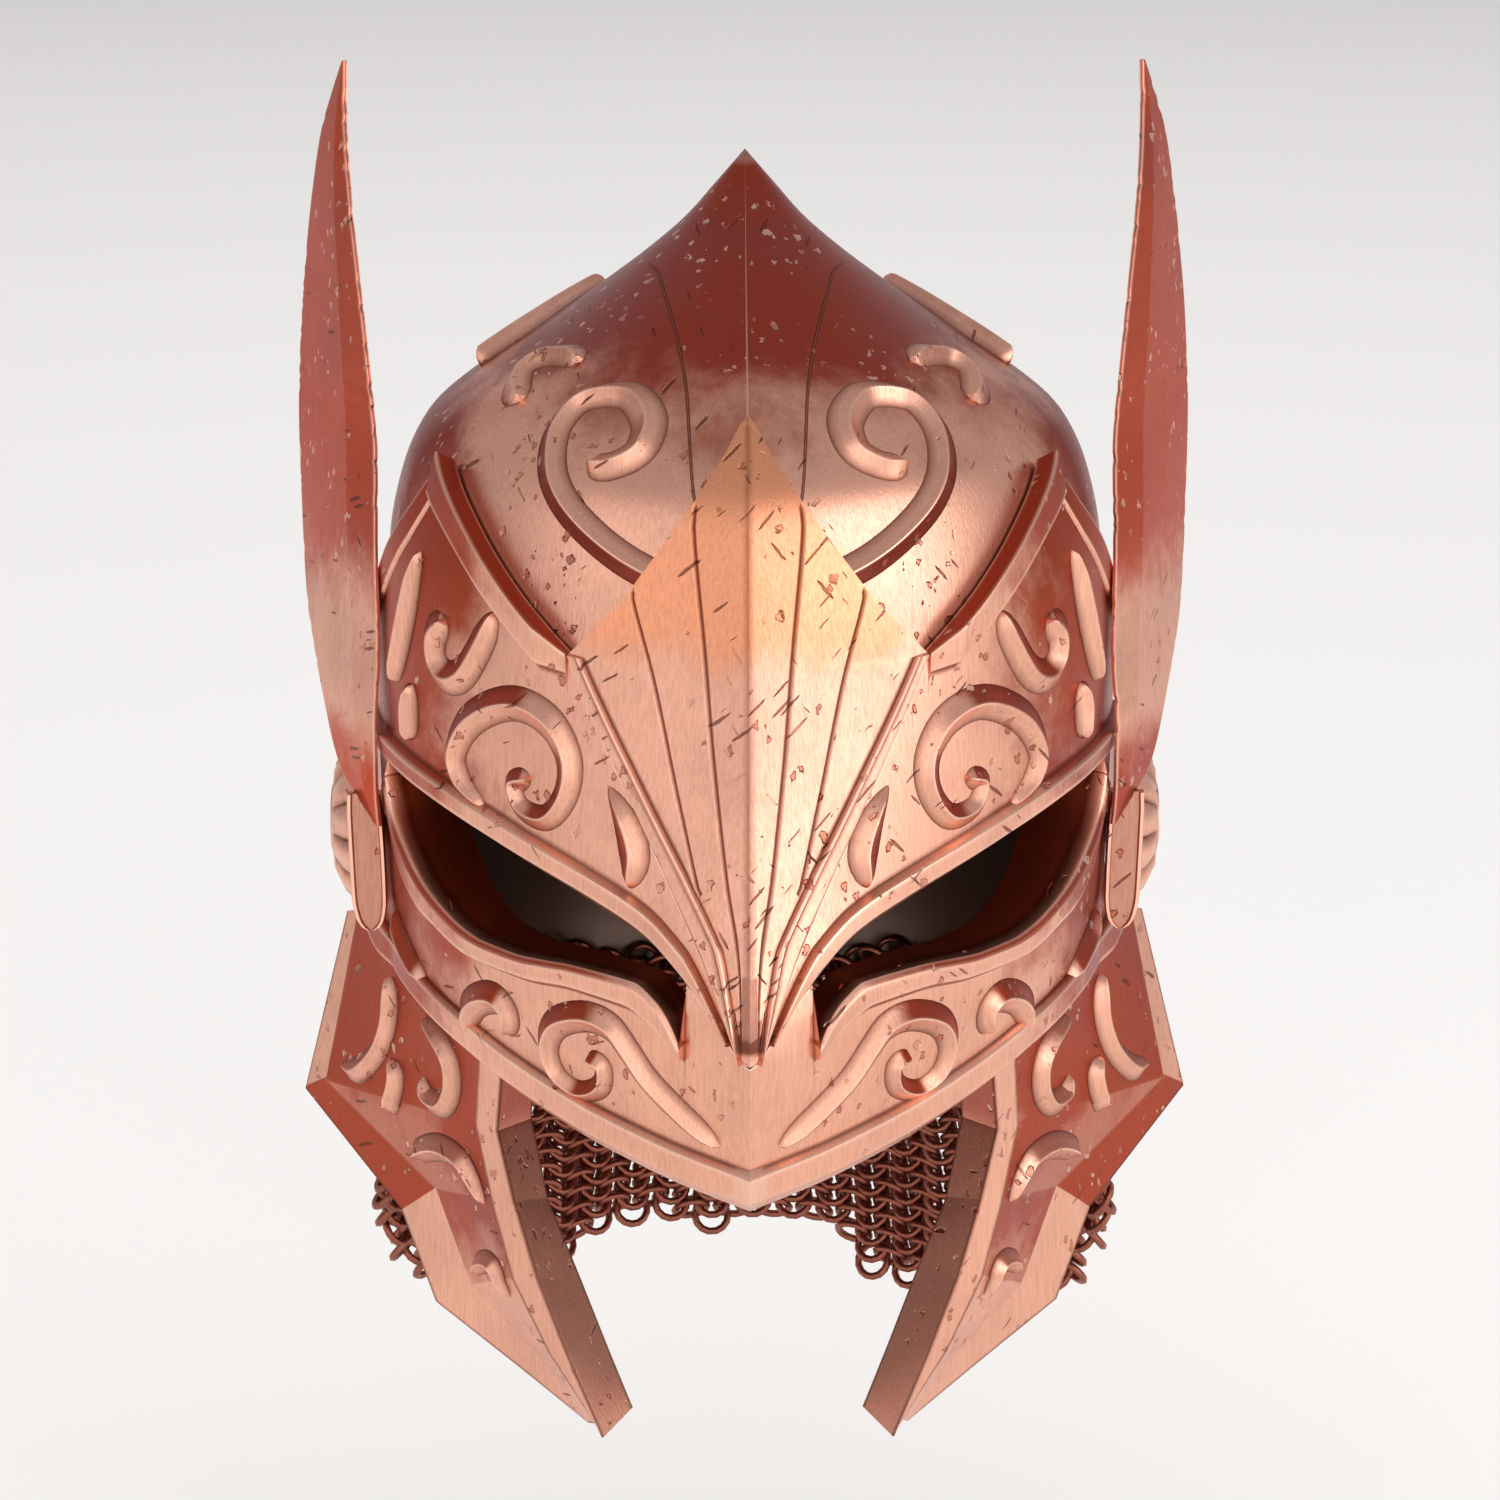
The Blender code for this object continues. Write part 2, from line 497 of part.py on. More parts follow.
outer, inner = [], []
for turn in [-t for t in reversed(FACE_HALF)] + [0.0] + FACE_HALF:
    turn_size = abs(turn)
    has_lid = LID_START < turn_size < LID_END
    low = along(CHIN, turn_size) * CROWN_HEIGHT
    if has_lid:
        top = along(LID_TOP, turn_size) * CROWN_HEIGHT
        foot = along(LID_FOOT, turn_size) * CROWN_HEIGHT
        depth, rise = along(LID_DEPTH, turn_size), LID_RISE
    else:
        clear = 4 * GAP if turn_size < LID_START else 2.4 * GAP
        top = along(SLIT_TOP, turn_size) * CROWN_HEIGHT - clear
        foot, depth, rise = top - 0.004, 0.0, 0.0
    edge = low + CHIN_BORDER
    border = CHIN_BORDER_RISE
    face = SEAT + PLATE
    line = [(low, 0.7 * face), (low + 0.45 * CHIN_BORDER, face + border),
            (edge, face + 0.7 * border), (edge + 0.0005, face),
            (edge + 0.33 * (foot - edge), face), (edge + 0.70 * (foot - edge), face),
            (foot - 0.0006, face), (foot, face + 0.85 * rise), (top, face + rise),
            (top + (0.0015 if has_lid else 0.0), -depth if has_lid else 0.6 * face)]
    back = [(height, SEAT) for height, out in line[:8]]
    if has_lid:
        back += [(top - LID_SHELF, SEAT), (top + 0.0015 - LID_SHELF, -depth)]
    else:
        back += [(top - LID_SHELF, SEAT), (top, SEAT)]
    outer.append([ride(turn, height, out + rear_flare(turn_size, height)) for height, out in line])
    inner.append([ride(turn, height, out + rear_flare(turn_size, height)) for height, out in back])
face_plate = shell("face_plate", outer, inner, COPPER["face"])
solder(face_plate, [relief(name, SCROLLS[name], on_skull(side, SEAT + PLATE))
                    for name in SCROLLS if name.startswith("face") for _, side in SIDES])


# Cheek guards
def guard_point(line, down, side):
    """Point of a fold line of the guard, down counted in rows of its table."""
    rows = GUARD_FOLDS[line]
    start = min(int(down), len(rows) - 2)
    a, b = Vector(rows[start]), Vector(rows[start + 1])
    p = a.lerp(b, down - start)
    return Vector((side * p.x * HALF_WIDTH, p.y * NOSE_REACH, p.z * GUARD_DROP))


def guard_field(across, down, side):
    flat = guard_point("rim_fold", down, side).lerp(guard_point("border", down, side), across)
    sag = GUARD_SAG * 4 * across * (1 - across) * max(0.0, 1 - down)
    return flat - Vector((side * sag, 0, 0))


def on_guard(side):
    def place(across, down):
        step = 0.02
        right = guard_field(across + step, down, side) - guard_field(across - step, down, side)
        up = guard_field(across, down - step, side) - guard_field(across, down + step, side)
        normal = right.cross(up).normalized() * (-side)
        return guard_field(across, down, side), normal
    return place


GUARD_ROWS = (len(GUARD_FOLDS["rim"]) - 1) * GUARD_ROWS_PER_FOLD
for label, side in SIDES:
    columns = []
    for row in range(GUARD_ROWS + 1):
        down = row / GUARD_ROWS_PER_FOLD
        line = [guard_point("rim", down, side)]
        line += [guard_field(k / GUARD_FIELD_COLUMNS, down, side)
                 for k in range(GUARD_FIELD_COLUMNS + 1)]
        line += [guard_point("ridge", down, side), guard_point("return", down, side)]
        columns.append(line)
    inside = []
    for i, line in enumerate(columns):
        above, below = columns[max(i - 1, 0)], columns[min(i + 1, GUARD_ROWS)]
        thin = 1 - GUARD_TIP_THINNING * max(0.0, i / GUARD_ROWS_PER_FOLD - 3) / 2
        backs = []
        for k, point in enumerate(line):
            before = (line[max(k, 1)] - line[max(k, 1) - 1]).normalized()
            after = (line[min(k + 1, len(line) - 1)] - line[min(k, len(line) - 2)]).normalized()
            along_it = above[k] - below[k]
            normal = (before + after).cross(along_it).normalized() * -side
            lean = abs(normal.dot(before.cross(along_it).normalized()))
            backs.append(point - normal * GUARD_WALL * thin / max(lean, 0.6))
        inside.append(backs)
    guard = shell("cheek_guard_" + label, columns, inside, COPPER["guard"])
    solder(guard, [relief("guard_scroll", rows, on_guard(side)) for rows in GUARD_SCROLLS])


# Ear bosses: a hub, a back face and two rows of facets that alternate in reach
BOSS_PROFILE = [(HUB_RADIUS, 0.0, 0.0), (HUB_RADIUS, 1.0, 0.0), (0.96 * BOSS_RADIUS, 1.0, 0.0),
                (BOSS_RADIUS, 1.0, 0.25), (0.80 * BOSS_RADIUS, 1.0, 0.75),
                (0.42 * BOSS_RADIUS, 1.0, 1.0), (0.16 * BOSS_RADIUS, 1.0, 0.82)]
for label, side in SIDES:
    centre = Vector((0, -BOSS_FORWARD, BOSS_HEIGHT))
    seat = section(BOSS_HEIGHT + HUB_RADIUS)[0] + GAP
    points = []
    for ring, (radius, hub, rise) in enumerate(BOSS_PROFILE):
        x = seat + hub * (HALF_WIDTH + BOSS_STANDOFF - seat) + rise * BOSS_DEPTH
        for k in range(BOSS_SIDES):
            angle = 2 * math.pi * (k + 0.5 * (ring % 2)) / BOSS_SIDES
            points.append(centre + Vector((side * x, radius * math.cos(angle),
                                           radius * math.sin(angle))))
    faces = [list(range(BOSS_SIDES)), [len(points) - 1 - k for k in range(BOSS_SIDES)]]
    for ring in range(len(BOSS_PROFILE) - 1):
        for k in range(BOSS_SIDES):
            here, there = ring * BOSS_SIDES, (ring + 1) * BOSS_SIDES
            following = (k + 1) % BOSS_SIDES
            if ring % 2 == 0:
                faces.append([here + k, here + following, there + k])
                faces.append([here + following, there + following, there + k])
            else:
                faces.append([here + k, there + following, there + k])
                faces.append([here + k, here + following, there + following])
    solid("ear_boss_" + label, points, faces, COPPER["boss"])


# Wings: a blade with a fold along it, six points a station
for label, side in SIDES:
    points = []
    for height, lead_x, lead_y, trail_x, trail_y, thick in WING:
        z = height * WING_HEIGHT
        lead = Vector((side * lead_x * HALF_WIDTH, lead_y * WING_HEIGHT, z))
        trail = Vector((side * trail_x * HALF_WIDTH, trail_y * WING_HEIGHT, z))
        chord = (trail - lead).normalized()
        across = Vector((-chord.y, chord.x, 0)) * (-side)
        fold = lead.lerp(trail, WING_RIDGE)
        edge = across * min(WING_EDGE, thick) / 2
        points += [lead + edge, fold + across * thick / 2, trail + edge,
                   trail - edge, fold - across * thick / 2, lead - edge]
    faces = [list(range(6)), [len(points) - 1 - k for k in range(6)]]
    for i in range(len(WING) - 1):
        for k in range(6):
            faces.append([6 * i + k, 6 * i + (k + 1) % 6, 6 * i + 6 + (k + 1) % 6, 6 * i + 6 + k])
    solid("wing_" + label, points, faces, COPPER["wing"])


# Mail curtain: a closed sheet as deep as the woven rings, round the back from ear to ear
MAIL_COLUMNS = 26
MAIL_ROWS = 3
outer, inner = [], []
for i in range(MAIL_COLUMNS + 1):
    share = MAIL_FOOT[0][0] + (MAIL_FOOT[-1][0] - MAIL_FOOT[0][0]) * i / MAIL_COLUMNS
    angle = math.pi * (1 - share)
    rim = along(SKULL_RIM, 1 + 2 * min(share, 1 - share)) * CROWN_HEIGHT
    foot = along(MAIL_FOOT, share) * CROWN_HEIGHT
    deepest = min(height for _, height in MAIL_FOOT) * CROWN_HEIGHT
    lines = [[], []]
    neck = rim - MAIL_FALL
    for height in [rim + MAIL_LAP] + [neck + (foot - neck) * k / MAIL_ROWS for k in range(MAIL_ROWS + 1)]:
        half, _, back, _ = section(max(height, rim))
        spread = along(MAIL_SPREAD, (neck - height) / (neck - deepest)) - SKULL_WALL - MAIL_SEAT
        for line, depth in zip(lines, (0.0, MAIL_WALL)):
            line.append(Vector(((half + spread - depth) * math.cos(angle),
                                (back + spread - depth) * math.sin(angle), height)))
    outer.append(lines[0])
    inner.append(lines[1])
mail = shell("mail_curtain", outer, inner, COPPER["mail"])
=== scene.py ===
# %% [markdown]
# # A winged fantasy helmet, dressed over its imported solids
#
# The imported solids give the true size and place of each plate. This lesson builds a
# finer plate over each of them, from the same few tables, and gives every plate a
# worn copper finish. Read it cell by cell: each code cell makes one thing and prints
# what it made.

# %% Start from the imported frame
import math

import bmesh
import bpy
import numpy as np
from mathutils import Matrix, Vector


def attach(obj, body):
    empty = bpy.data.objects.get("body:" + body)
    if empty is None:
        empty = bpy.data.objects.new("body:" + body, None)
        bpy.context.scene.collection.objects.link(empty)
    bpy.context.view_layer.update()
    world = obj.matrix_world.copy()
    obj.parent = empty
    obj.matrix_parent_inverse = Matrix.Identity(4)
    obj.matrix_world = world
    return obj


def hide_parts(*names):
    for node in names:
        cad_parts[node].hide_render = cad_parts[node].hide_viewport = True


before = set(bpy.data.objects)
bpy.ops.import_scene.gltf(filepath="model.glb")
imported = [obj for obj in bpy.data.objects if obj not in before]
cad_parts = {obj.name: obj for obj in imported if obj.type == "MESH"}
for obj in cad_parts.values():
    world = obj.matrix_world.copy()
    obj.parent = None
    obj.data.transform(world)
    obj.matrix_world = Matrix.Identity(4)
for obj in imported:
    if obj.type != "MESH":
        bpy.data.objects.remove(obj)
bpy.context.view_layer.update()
print("solids in the frame:", ", ".join(sorted(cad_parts)))

# %% [markdown]
# ## The sizes of the head form
#
# A helmet is shaped round a head, so four lengths drive it: the half width over the
# ears, the height of the crown above the ears, and the reach to the nose and to the
# nape. The section table gives the outline at a few heights as shares of those four.
# A beginner would model this by pushing points about; a table is easier to mend.

# %% Head sizes and sections
HALF_WIDTH, CROWN_HEIGHT, NOSE_REACH, NAPE_REACH = 0.1015, 0.2026, 0.140, 0.119
SKULL_WALL, PLATE, BROW_WALL, GUARD_WALL = 0.0020, 0.0025, 0.0030, 0.0025
GAP, SEAT, SINK = 0.0003, 0.0007, 0.0010
SECTIONS = [  # height, half width, front, back, keel (0.5 is the sharpest front)
    (-0.494, 0.905, 0.850, 0.905, 0.50), (-0.271, 0.935, 0.936, 0.916, 0.50),
    (-0.044, 0.985, 1.000, 0.983, 0.52), (0.148, 0.995, 0.918, 1.000, 0.57),
    (0.296, 1.000, 0.864, 0.992, 0.60), (0.469, 0.983, 0.811, 0.945, 0.62),
    (0.558, 0.946, 0.771, 0.880, 0.63), (0.627, 0.882, 0.725, 0.800, 0.64),
    (0.681, 0.761, 0.654, 0.700, 0.64), (0.740, 0.581, 0.543, 0.563, 0.64),
    (0.805, 0.404, 0.393, 0.402, 0.63), (0.859, 0.266, 0.261, 0.264, 0.62),
    (0.906, 0.161, 0.157, 0.164, 0.60), (0.950, 0.085, 0.082, 0.084, 0.57),
    (1.000, 0.000, 0.000, 0.000, 0.55),
]
SIDES = (("left", -1), ("right", 1))


def eased(rows, column, places):
    """Smooth line through a column of a table that never overshoots its rows."""
    xs, ys = (np.array([row[k] for row in rows], float) for k in (0, column))
    steps = np.diff(xs)
    rates = np.diff(ys) / steps
    slopes = np.concatenate([[rates[0]], np.zeros(len(xs) - 2), [rates[-1]]])
    near, far = rates[:-1], rates[1:]
    same = near * far > 0
    first, second = 2 * steps[1:] + steps[:-1], steps[1:] + 2 * steps[:-1]
    slopes[1:-1][same] = ((first + second)[same]
                          / (first[same] / near[same] + second[same] / far[same]))
    place = np.clip(np.asarray(places, float), xs[0], xs[-1])
    at = np.clip(np.searchsorted(xs, place, side="right") - 1, 0, len(xs) - 2)
    u = (place - xs[at]) / steps[at]
    return ((2 * u**3 - 3 * u * u + 1) * ys[at] + (u**3 - 2 * u * u + u) * slopes[at] * steps[at]
            + (3 * u * u - 2 * u**3) * ys[at + 1] + (u**3 - u * u) * slopes[at + 1] * steps[at])


def straight(rows, column, places):
    """Straight lines from row to row of a table."""
    return np.interp(places, [row[0] for row in rows], [row[column] for row in rows])


print("half width at the ears:", round(HALF_WIDTH * float(eased(SECTIONS, 1, 0.0)), 4), "m")

# %% [markdown]
# ## A chart of the head
#
# Plates, relief and grooves all lie on the same skin, so it pays to have a chart, as
# a globe has. `around` runs from 0 at the crease over the face to 1 at the ear and 2
# at the back, and is negative on the left. `height` is in metres. With `ride` a point
# goes to a place on the chart and then a distance out from the skin.

# %% Skin, normal and ride
def skin(around, height):
    around, height = np.broadcast_arrays(np.asarray(around, float), np.asarray(height, float))
    share = height / CROWN_HEIGHT
    half = HALF_WIDTH * eased(SECTIONS, 1, share)
    front = NOSE_REACH * eased(SECTIONS, 2, share)
    back = NAPE_REACH * eased(SECTIONS, 3, share)
    keel = eased(SECTIONS, 4, share)
    turn = np.abs(around)
    quarter = (turn - 1) * math.pi / 2
    ahead = turn <= 1
    x = np.where(ahead, half * (2 * turn - turn * turn), half * np.cos(quarter))
    y = np.where(ahead, -front * (1 - turn) * ((1 - turn) + 2 * keel * turn),
                 back * np.sin(quarter))
    return np.stack([np.copysign(x, around), y, height], -1)


def unit(vectors):
    return vectors / np.maximum(np.linalg.norm(vectors, axis=-1, keepdims=True), 1e-12)


def outward(around, height):
    """Normal of the skin, lengthened on the crease so that walls keep their thickness."""
    around, height = np.broadcast_arrays(np.asarray(around, float), np.asarray(height, float))
    step = 1e-4
    turn, side = np.abs(around), np.where(around >= 0, 1.0, -1.0)
    seam = (turn <= 2 * step) | (turn >= 2 - 2 * step)
    near = side * np.where(seam, np.where(turn < 1, turn + 3 * step, turn - 3 * step), turn)
    normal = unit(np.cross(skin(near + step, height) - skin(near - step, height),
                           skin(near, height + step) - skin(near, height - step)))
    middle = unit(normal * (0, 1, 1))
    lean = np.maximum((middle * normal).sum(-1, keepdims=True), 0.4)
    return np.where(seam[..., None], middle / lean, normal)


def ride(around, height, distance):
    return skin(around, height) + outward(around, height) * np.asarray(distance)[..., None]


print("nose of the bare skin:", skin(0.0, -0.009).round(4))

# %% [markdown]
# ## Plates from closed sections
#
# Forged plate has a thickness, an edge you can run a finger over, and a foot where
# dirt stays. So each plate is a row of closed sections joined together, and every
# marked corner of a section is cut to a tiny round. While it does that, `soften`
# notes which corners stick out and which are sunk: the finish later makes the first
# pale from wear and the second dark with oxide.

# %% Section helpers
def soften(loops, corners, radius=0.00035, fade=0.0014):
    """Cuts the marked corners of closed sections. Returns points, wear and oxide."""
    sweep = np.gradient(loops, axis=0) if loops.shape[-1] == 3 else None
    points, wear, oxide_and_shade = [], [], []
    for k in range(loops.shape[1]):
        here = loops[:, k]
        if not corners[k]:
            points.append(here)
            wear.append(np.zeros(len(here)))
            oxide_and_shade.append(np.zeros(len(here)))
            continue
        before, after = loops[:, k - 1] - here, loops[:, (k + 1) % loops.shape[1]] - here
        far_before, far_after = (np.linalg.norm(v, axis=-1, keepdims=True) for v in (before, after))
        before, after = unit(before), unit(after)
        folded = np.clip(1.6 * ((before * after).sum(-1) + 1), 0, 1)
        if sweep is None:
            turn = before[:, 0] * after[:, 1] - before[:, 1] * after[:, 0]
        else:
            turn = (np.cross(before, after) * sweep[:, k]).sum(-1)
        strong = {"wear": np.where(turn > 0, folded, 0), "oxide_and_shade": np.where(turn < 0, folded, 0)}
        for way, far, reach, value in ((before, far_before, fade, 0.0), (before, far_before, radius, 0.8),
                                       (None, None, 0.0, 1.0), (after, far_after, radius, 0.8),
                                       (after, far_after, fade, 0.0)):
            if way is None:
                points.append(here + (before + after) * 0.22 * radius)
            else:
                points.append(here + way * np.minimum(reach, (0.45 if reach > radius else 0.3) * far))
            wear.append(strong["wear"] * value)
            oxide_and_shade.append(strong["oxide_and_shade"] * value)
    return np.stack(points, 1), np.stack(wear, 1), np.stack(oxide_and_shade, 1)


def join_sections(points, wear, oxide_and_shade, closed_path=False, painted_shading=None):
    """Faces between closed sections, with an end face on each end of an open path."""
    # Painted shading: positive values paint shade, negative values paint light.
    painted_shading = np.zeros(wear.shape) if painted_shading is None else painted_shading
    n, m = points.shape[:2]
    faces = []
    for i in range(n if closed_path else n - 1):
        there = (i + 1) % n
        for k in range(m):
            following = (k + 1) % m
            faces.append((i * m + k, i * m + following, there * m + following, there * m + k))
    if not closed_path:
        faces.append(tuple(range(m)))
        faces.append(tuple((n - 1) * m + k for k in reversed(range(m))))
    return points.reshape(-1, 3), faces, wear.ravel(), oxide_and_shade.ravel(), painted_shading.ravel()


def make_piece(name, chunks, finish, node, crisp=28):
    """One mesh object from chunks of points, faces, wear, oxide together with painted shade, and painted light and
    shade.
    """
    starts = np.cumsum([0] + [len(chunk[0]) for chunk in chunks])
    faces = [tuple(start + i for i in face) for start, chunk in zip(starts, chunks) for face in chunk[1]]
    mesh = bpy.data.meshes.new(name)
    mesh.from_pydata(np.concatenate([chunk[0] for chunk in chunks]).tolist(), [], faces)
    for k, label in ((2, "wear"), (3, "oxide_and_shade"), (4, "painted_shading")):
        attribute = mesh.attributes.new(label, "FLOAT", "POINT")
        attribute.data.foreach_set("value", np.concatenate([chunk[k] for chunk in chunks]).astype(np.float32))
    work = bmesh.new()
    work.from_mesh(mesh)
    bmesh.ops.remove_doubles(work, verts=work.verts, dist=2e-6)
    bmesh.ops.dissolve_degenerate(work, edges=work.edges, dist=1e-7)
    bmesh.ops.recalc_face_normals(work, faces=work.faces)
    work.to_mesh(mesh)
    work.free()
    mesh.polygons.foreach_set("use_smooth", [True] * len(mesh.polygons))
    mesh.set_sharp_from_angle(angle=math.radians(crisp))
    # The corner normals are kept, so that the finish can paint deep red by facing, a painted reflection.
    facing = np.zeros(3 * len(mesh.loops), np.float32)
    mesh.corner_normals.foreach_get("vector", facing)
    mesh.attributes.new("facing", "FLOAT_VECTOR", "CORNER").data.foreach_set("vector", facing)
    piece = bpy.data.objects.new(name, mesh)
    bpy.context.scene.collection.objects.link(piece)
    piece.data.materials.append(finish)
    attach(piece, "root")
    if node:
        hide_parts(node)
    mesh.calc_loop_triangles()
    print(f"{name}: {len(mesh.loop_triangles)} triangles")
    return piece


# %% [markdown]
# ## The worn copper finish
#
# The helmet is copper-coloured metal, brushed downwards, chipped and scratched. The
# tone isn't even: surfaces that face up, aside or back are painted deep red, a painted
# reflection of the dark room, and so is all above a given height, so the crown and the
# upper blades are deep red and the parts below stay pale pink. Metal has no colour of its
# own but the colour of what it mirrors, so the base colour tints the reflection, and fine
# bumps break it up. Painted shade and painted light also come from the pieces. One
# function makes all the finishes, so that they belong together, and each piece sets its own tones.

# %% Node helpers
class NodeTree:
    """A short way to add shader nodes and join them up."""

    def __init__(self, tree):
        self.tree = tree

    def add(self, kind, settings=None, **inputs):
        node = self.tree.nodes.new(kind)
        for key, value in (settings or {}).items():
            setattr(node, key, value)
        for key, value in inputs.items():
            socket = node.inputs[int(key[1:])] if key[0] == "i" and key[1:].isdigit() else node.inputs[key]
            if hasattr(value, "links"):
                self.tree.links.new(value, socket)
            else:
                socket.default_value = value
        return node

    def math(self, operation, a, b=0.5, clamp=False):
        return self.add("ShaderNodeMath", {"operation": operation, "use_clamp": clamp}, i0=a, i1=b).outputs[0]

    def ramp(self, value, low, high, to_low=0.0, to_high=1.0):
        return self.add("ShaderNodeMapRange", {"interpolation_type": "SMOOTHSTEP"}, i0=value,
                        i1=low, i2=high, i3=to_low, i4=to_high).outputs[0]

    def blend(self, factor, a, b):
        node = self.add("ShaderNodeMix", {"data_type": "RGBA"}, i0=factor)
        for socket, value in ((node.inputs[6], a), (node.inputs[7], b)):
            if hasattr(value, "links"):
                self.tree.links.new(value, socket)
            else:
                socket.default_value = (*value, 1)
        return node.outputs[2]

    def placed(self, coords, scale, turn=(0, 0, 0)):
        """Turns the coordinates first and scales them then, so that marks can lie aslant."""
        node = self.add("ShaderNodeMapping", {"vector_type": "TEXTURE"})
        self.tree.links.new(coords, node.inputs["Vector"])
        node.inputs["Scale"].default_value = [1 / a for a in scale]
        node.inputs["Rotation"].default_value = [math.radians(a) for a in turn]
        return node.outputs[0]


# %% The copper finish
# PALE and DEEP are the lit and the shaded copy of one copper: the finish blends them by which way a surface faces, a
# painted reflection, by painted shading from the pieces, and by height. The socket red is painted light inside the eye
# sockets, and the inside colour is painted shade inside the dome.
PALE, DEEP = (0.88, 0.455, 0.325), (0.42, 0.064, 0.028)
PURPLE = (0.30, 0.070, 0.064)
# The oxide colour also serves as painted shade on the backs of the plates.
OXIDE_AND_SHADE = (0.130, 0.024, 0.013)
WORN = (0.98, 0.66, 0.51)
PAINTED_INSIDE_SHADE = (0.19, 0.135, 0.110)
SOCKET = (0.66, 0.105, 0.040)


def copper(name, pale=PALE, deep=DEEP, painted_reflection_span=(0.72, 0.86), heights=(0.30, 0.31), foot=None, chips=0.5,
           scratches=0.3, painted_warm_reflection=None, roughness=0.30, painted_inside_tone=PAINTED_INSIDE_SHADE):
    """Brushed copper, painted deep red where it faces up, aside or back, a painted reflection of the dark room, and
    above two given heights, rising from the first to the second; painted shading from the pieces adds painted shade or
    painted light.
    """
    made = bpy.data.materials.new(name)
    made.use_nodes = True
    shader = made.node_tree.nodes["Principled BSDF"]
    t = NodeTree(made.node_tree)
    coords = t.add("ShaderNodeTexCoord").outputs["Object"]
    cloud = t.add("ShaderNodeTexNoise", Vector=coords, Scale=34.0, Detail=6.0, Roughness=0.65).outputs[0]
    broad = t.add("ShaderNodeTexNoise", Vector=coords, Scale=13.0, Detail=2.0).outputs[0]
    grain = t.add("ShaderNodeTexNoise", Vector=t.placed(coords, (1500, 1500, 70)), Scale=1.0,
                  Detail=3.0, Roughness=0.65).outputs[0]
    wobble = t.add("ShaderNodeTexNoise", Vector=coords, Scale=430.0, Detail=3.0).outputs[1]
    wear, oxide_and_shade, painted_shading = (t.add("ShaderNodeAttribute", {"attribute_name": label}).outputs["Fac"]
                          for label in ("wear", "oxide_and_shade", "painted_shading"))

    def shaken(amount):
        uneven = t.add("ShaderNodeVectorMath", {"operation": "SCALE"}, i0=wobble)
        uneven.inputs["Scale"].default_value = amount
        return t.add("ShaderNodeVectorMath", {"operation": "ADD"}, i0=coords, i1=uneven.outputs[0]).outputs[0]

    ragged, smooth = shaken(0.0040), shaken(0.0006)

    def marks(source, scale, turn, size, share, crowd, thick=0.50):
        """Chips or scratches: the middles of some cells, where the clouds are thick."""
        cells = t.add("ShaderNodeTexVoronoi", Vector=t.placed(source, scale, turn), Scale=1.0)
        chosen = t.add("ShaderNodeSeparateColor", i0=cells.outputs["Color"])
        reach = t.math("MULTIPLY", t.ramp(chosen.outputs[1], 0.0, 1.0, 0.35, 1.0), size)
        inside = t.math("SUBTRACT", 1.0, t.ramp(t.math("DIVIDE", cells.outputs["Distance"], reach), 0.70, 1.0))
        wanted = t.math("LESS_THAN", chosen.outputs[0], share)
        crowded = t.add("ShaderNodeTexNoise", Vector=coords, Scale=crowd, Detail=1.0).outputs[0]
        return t.math("MULTIPLY", t.math("MULTIPLY", inside, wanted), t.ramp(crowded, thick - 0.04, thick + 0.06))

    chip = marks(ragged, (300, 260, 200), (10, 20, 30), 0.36, chips, 26.0, 0.53)
    dent = marks(ragged, (150, 150, 100), (25, -35, 60), 0.22, chips * 0.8, 19.0, 0.52)
    scratch = marks(smooth, (560, 70, 55), (0, 50, 12), 0.25, scratches, 15.0, 0.47)
    counter = marks(smooth, (520, 70, 60), (0, -38, -8), 0.22, scratches * 0.8, 12.0, 0.49)
    chipped = t.math("MAXIMUM", chip, dent)
    cut = t.math("MAXIMUM", scratch, counter)
    marked = t.math("MULTIPLY", t.math("MAXIMUM", chipped, cut), t.ramp(painted_shading, 1.0, 1.6, 1.0, 0.0))
    # Painted reflection: surfaces that face up, aside or back are painted deep red, as if they mirrored the dark room.
    facing = t.add("ShaderNodeAttribute", {"attribute_name": "facing"}).outputs["Vector"]
    looks = t.add("ShaderNodeSeparateXYZ", i0=facing).outputs
    place = t.add("ShaderNodeSeparateXYZ", i0=coords).outputs
    aside = t.math("MAXIMUM", t.math("MULTIPLY", looks[0], t.math("SIGN", place[0])), 0.0)
    turned = t.math("ADD", t.math("MULTIPLY", aside, 0.9), t.math("MULTIPLY", looks[2], 0.5))
    turned = t.math("ADD", turned, t.math("MULTIPLY", t.math("MAXIMUM", looks[1], 0.0), 1.25))
    cloudy = t.math("SUBTRACT", cloud, 0.5)
    turned = t.math("ADD", turned, t.math("MULTIPLY", cloudy, 0.30))
    height = t.math("ADD", place[2], t.math("MULTIPLY", cloudy, 0.05))
    # The painted reflection and the deep red above a given height together set how deep the red is.
    depth = t.math("MAXIMUM", t.ramp(turned, *painted_reflection_span), t.ramp(height, *heights))
    if foot:
        depth = t.math("MAXIMUM", depth, t.ramp(height, *foot, 1.0, 0.0))
    # Painted shading from the pieces adds painted shade, and painted light where it is negative.
    depth = t.math("ADD", depth, painted_shading, clamp=True)
    bright = t.blend(t.ramp(cloud, 0.38, 0.66, 0.0, 0.5), pale, [0.80 * c for c in pale])
